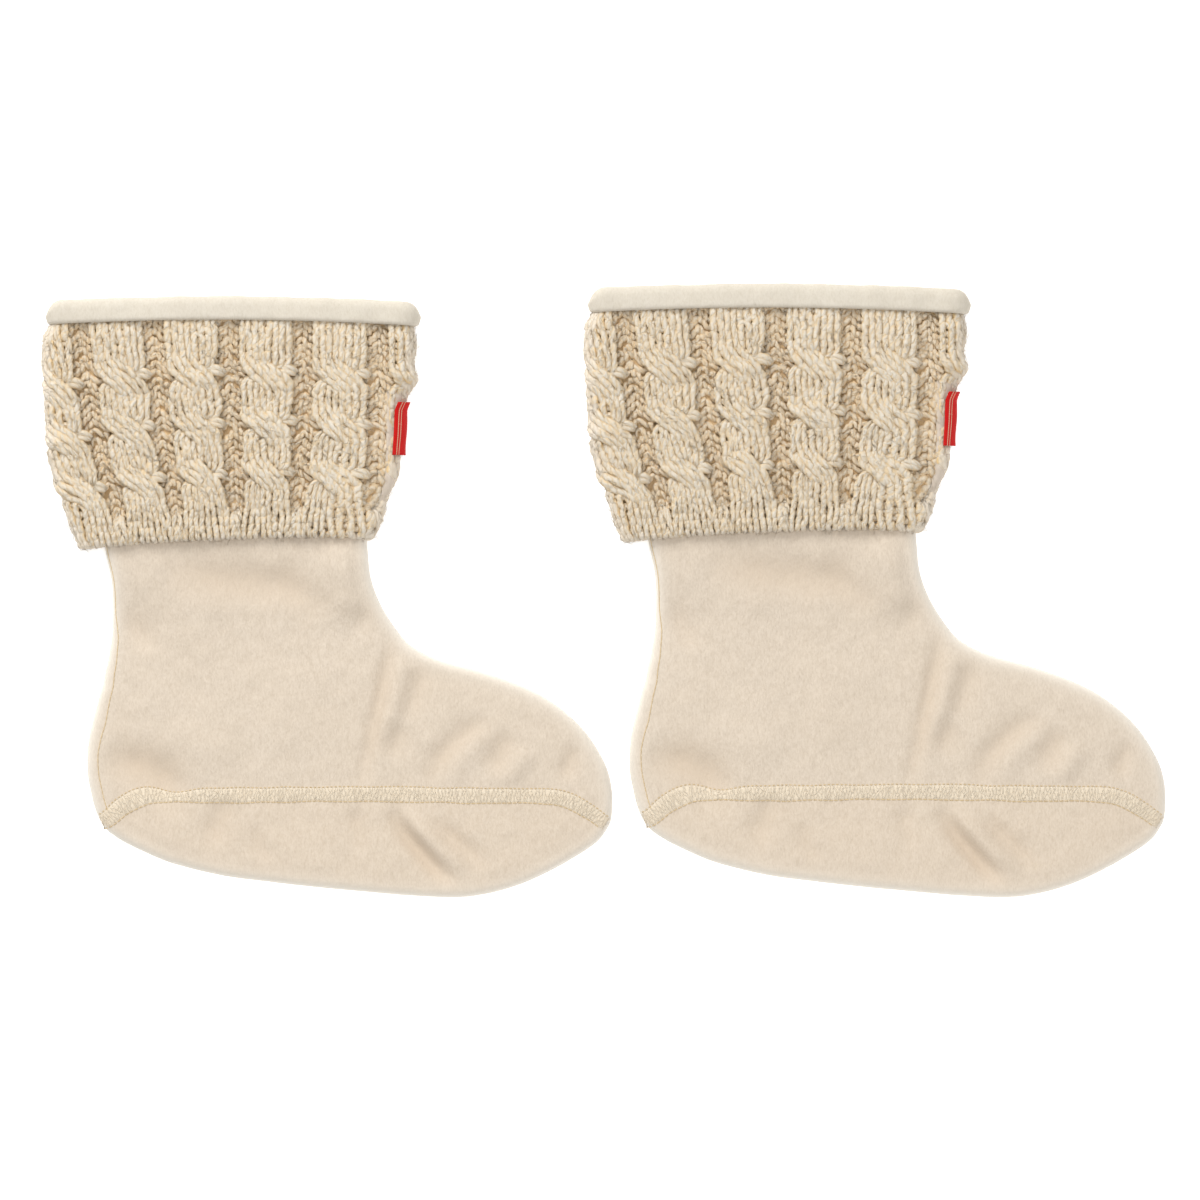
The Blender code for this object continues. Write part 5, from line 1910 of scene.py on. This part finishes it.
    def side_strip(self, maker: MeshMaker, finishes: Finishes) -> bpy.types.Object:
        """The smooth strip of the cuff's side seam, from where the last cable ends down to the hem."""
        down = np.linspace(self.cable_ends - 0.01, 1.02, 70)
        middle = self.centres(down)[:, -1]
        pitch = middle - self.centres(down)[:, -2]
        shares = np.linspace(0.0, 1.0, 25)
        s = middle[:, None] + pitch[:, None] * (-0.40 + shares[None, :] * 0.585)
        groove = 0.5 * np.exp(-((shares - 0.42) / 0.07) ** 2)
        crown = 2.05 * np.maximum(np.sin(shares * math.pi), 0.0) ** 0.4 - groove
        fade = smoothstep(down[0] - 0.005, down[0] + 0.06, down)
        level = np.broadcast_to(down[:, None], s.shape)
        plan = np.stack([s, level * self.surface.length], -1)
        out = -2.0 + crown[None, :] * fade[:, None] + 0.18 * soft_noise(plan, 7.0, 61, 2.0)
        points, _ = self.surface.put(s, level, out)
        points[..., 2] = np.maximum(points[..., 2], 0.05)
        quads = maker.sheet_quads(points.shape[0], points.shape[1], turned=True)
        return maker.piece("side_seam_strip", points, quads, None, (finishes.strip,), "knit")

    def build(self, maker: MeshMaker, finishes: Finishes
              ) -> tuple[bpy.types.Object, list[bpy.types.Object]]:
        """Builds the cuff.

        Args:
            maker: Makes the pieces of this sock.
            finishes: The pair's materials.

        Returns:
            The backing cloth, and the pieces on it.
        """
        backing = self.backing(maker, finishes)
        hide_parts(f"{maker.place.name}_cuff")
        under = self.under_cables
        patches = (
            YarnPatch("cuff_yarn_under", 1, under - 1, samples=7, sides=4, seed=71),
            YarnPatch("cuff_yarn_back", under, under + 3, samples=14, sides=6, seed=72),
            YarnPatch("cuff_yarn_front", under + 4, under + 6, samples=14, sides=6, seed=73),
        )
        pieces = [self.yarn_piece(patch, maker, finishes) for patch in patches]
        pieces.append(self.floats(maker, finishes))
        pieces.append(self.loose_fibres(maker, finishes))
        pieces.append(self.side_strip(maker, finishes))
        return backing, pieces


@dataclass
class SideTab:
    """The red tab in the cuff's side seam: a folded woven tape without any text."""

    surface: CuffSurface
    thick: float = 0.55
    shown_width: float = 8.0
    rows_down: int = 33
    columns: int = 15
    # Share of the way down the cuff, and the lean where the tab starts and ends round its side
    rows: tuple[tuple[float, float, float], ...] = (
        (0.362, 60.0, -10.0), (0.490, 62.0, 0.0), (0.614, 64.0, 8.0),
    )
    cut: tuple[float, float] = (0.0197, 0.0100)

    def build(self, maker: MeshMaker, finishes: Finishes) -> bpy.types.Object:
        """Builds the tab as one piece.

        Args:
            maker: Makes the pieces of this sock.
            finishes: The pair's materials.

        Returns:
            The piece.
        """
        surface = self.surface
        downs, firsts, lasts = (np.array(column) for column in zip(*self.rows))
        down = np.linspace(downs[0], downs[-1], self.rows_down)
        first, last = np.interp(down, downs, firsts), np.interp(down, downs, lasts)
        shares = np.linspace(0.0, 1.0, self.columns)
        lean = np.radians(first[:, None] + (last - first)[:, None] * shares[None, :])
        right = surface.sides(down)[1][:, None]
        ends = (2.0 * np.linspace(0.0, 1.0, self.rows_down) - 1.0)[:, None]
        lift = 1.0 + 0.35 * ends ** 4 + 0.15 * np.sin(ends * 3.0 + shares[None, :] * 2.0)
        faces = []
        for off in (lift + self.thick, lift):
            x = right + (surface.edge + off) * np.cos(lean)
            z = surface.middle_z + (surface.gutter_t + off) * np.sin(lean)
            y = np.broadcast_to(surface.height(right, down[:, None]), lean.shape)
            faces.append(np.stack([x, y, z], -1))
        grid = np.concatenate([faces[0], faces[1][:, ::-1]], axis=1)
        rows, columns = grid.shape[:2]
        side = maker.sheet_quads(rows, columns, closed=True, turned=True)
        half = columns // 2
        caps = []
        for row, turned in ((0, False), (rows - 1, True)):
            for k in range(half - 1):
                cap = [row * columns + k, row * columns + k + 1, row * columns + columns - 2 - k,
                       row * columns + columns - 1 - k]
                caps.append(cap[::-1] if turned else cap)
        quads = np.vstack([side, np.array(caps)])
        length = (down - down[0]) * surface.length
        width = shares * self.shown_width
        u = np.broadcast_to(np.concatenate([width, width[::-1]])[None, :], (rows, columns)).ravel()
        v = np.broadcast_to(length[:, None], (rows, columns)).ravel()
        uvs = np.stack([u[quads], v[quads]], -1).reshape(-1, 2)
        piece = maker.piece("side_tab", grid, quads, uvs, (finishes.tape,), "tape")
        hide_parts(f"{maker.place.name}_tab")
        return piece


@dataclass
class BootSock:
    """One sock of the pair."""

    place: SockPlace
    form: SockForm
    finishes: Finishes

    def build(self) -> None:
        """Builds every piece of the sock and logs its triangles."""
        maker = MeshMaker(self.place)
        upper, sole = FleeceUpper(self.form), FleeceSole(self.form)
        upper_piece = upper.build(maker, self.finishes)
        report(upper_piece)
        sole_piece = sole.build(maker, self.finishes)
        report(sole_piece)
        seams = SewnSeams(self.form).build(maker, self.finishes)
        surface = CuffSurface(self.form)
        cuff = KnitCuff(surface)
        backing, stitches = cuff.build(maker, self.finishes)
        tab = SideTab(surface)
        tab_piece = tab.build(maker, self.finishes)
        for piece in (*seams, backing, *stitches, tab_piece):
            report(piece)


def report(piece: bpy.types.Object) -> None:
    """Logs a piece's name and number of triangles."""
    triangles = sum(len(face.vertices) - 2 for face in piece.data.polygons)
    LOG.info("%s: %d triangles", piece.name, triangles)


@dataclass(frozen=True)
class Lamp:
    """A square soft light: where it hangs and its side, in metres, and its power in watts."""

    name: str
    place: tuple[float, float, float]
    side: float
    power: float


@dataclass(frozen=True)
class Studio:
    """Pale floor, soft light and the camera straight above the pair."""

    view_width: float = 0.432
    view_middle: tuple[float, float] = (-0.0013, -0.0028)
    cloth_height: float = 0.009
    camera_distance: float = 2.4
    sensor: float = 36.0
    floor_side: float = 4.0
    floor_colour: tuple[float, float, float] = (0.95, 0.95, 0.95)
    floor_glow: float = 0.45
    sky: float = 0.50
    lamps: tuple[Lamp, ...] = (
        Lamp("key light", (-0.75, 1.35, 1.05), 1.0, 30.0),
        Lamp("top light", (0.1, 0.25, 2.6), 0.9, 15.5),
        Lamp("fill light", (0.7, -1.3, 0.9), 1.4, 9.0),
    )

    def floor(self) -> None:
        """Lays the floor."""
        half = self.floor_side / 2
        mesh = bpy.data.meshes.new("floor")
        corners = [(-half, -half, 0), (half, -half, 0), (half, half, 0), (-half, half, 0)]
        mesh.from_pydata(corners, [], [(0, 1, 2, 3)])
        material, kit, shader = new_material("pale floor")
        place = kit.node("ShaderNodeTexCoord").outputs["Object"]
        deeper = tuple(c * 0.995 for c in self.floor_colour)
        colour = kit.mix(kit.noise(place, 2.0, 2.0), self.floor_colour, deeper)
        kit.feed(shader.inputs["Base Color"], colour)
        shader.inputs["Emission Color"].default_value = (1.0, 1.0, 1.0, 1.0)
        shader.inputs["Emission Strength"].default_value = self.floor_glow
        shader.inputs["Roughness"].default_value = 0.9
        shader.inputs["Specular IOR Level"].default_value = 0.1
        mesh.materials.append(material)
        floor = bpy.data.objects.new("floor", mesh)
        bpy.context.scene.collection.objects.link(floor)

    @staticmethod
    def light(lamp: Lamp) -> None:
        """Hangs a light that faces the pair."""
        data = bpy.data.lights.new(lamp.name, "AREA")
        data.size = lamp.side
        data.energy = lamp.power
        hung = bpy.data.objects.new(lamp.name, data)
        hung.location = lamp.place
        hung.rotation_euler = (-Vector(lamp.place)).to_track_quat("-Z", "Y").to_euler()
        bpy.context.scene.collection.objects.link(hung)

    def build(self) -> None:
        """Builds the floor, the lights, the surroundings and the camera."""
        self.floor()
        for lamp in self.lamps:
            self.light(lamp)
        scene = bpy.context.scene
        world = bpy.data.worlds.new("studio")
        world.use_nodes = True
        sky = world.node_tree.nodes["Background"]
        sky.inputs["Color"].default_value = (1.0, 1.0, 1.0, 1.0)
        sky.inputs["Strength"].default_value = self.sky
        scene.world = world
        scene.view_settings.view_transform = "Standard"
        data = bpy.data.cameras.new("camera")
        data.sensor_width = self.sensor
        data.lens = self.sensor * self.camera_distance / self.view_width
        data.clip_end = 20.0
        camera = bpy.data.objects.new("camera", data)
        camera.location = (*self.view_middle, self.cloth_height + self.camera_distance)
        scene.collection.objects.link(camera)
        scene.camera = camera


def main() -> None:
    """Builds the studio and the pair."""
    logging.basicConfig(level=logging.INFO, format="%(name)s %(message)s")
    Studio().build()
    finishes = Finishes()
    form = SockForm()
    for place in (SockPlace("left", -202.16, -110.06, 1.0), SockPlace("right", -6.86, -110.06, 1.021)):
        BootSock(place, form, finishes).build()


if __name__ == "__main__":
    main()
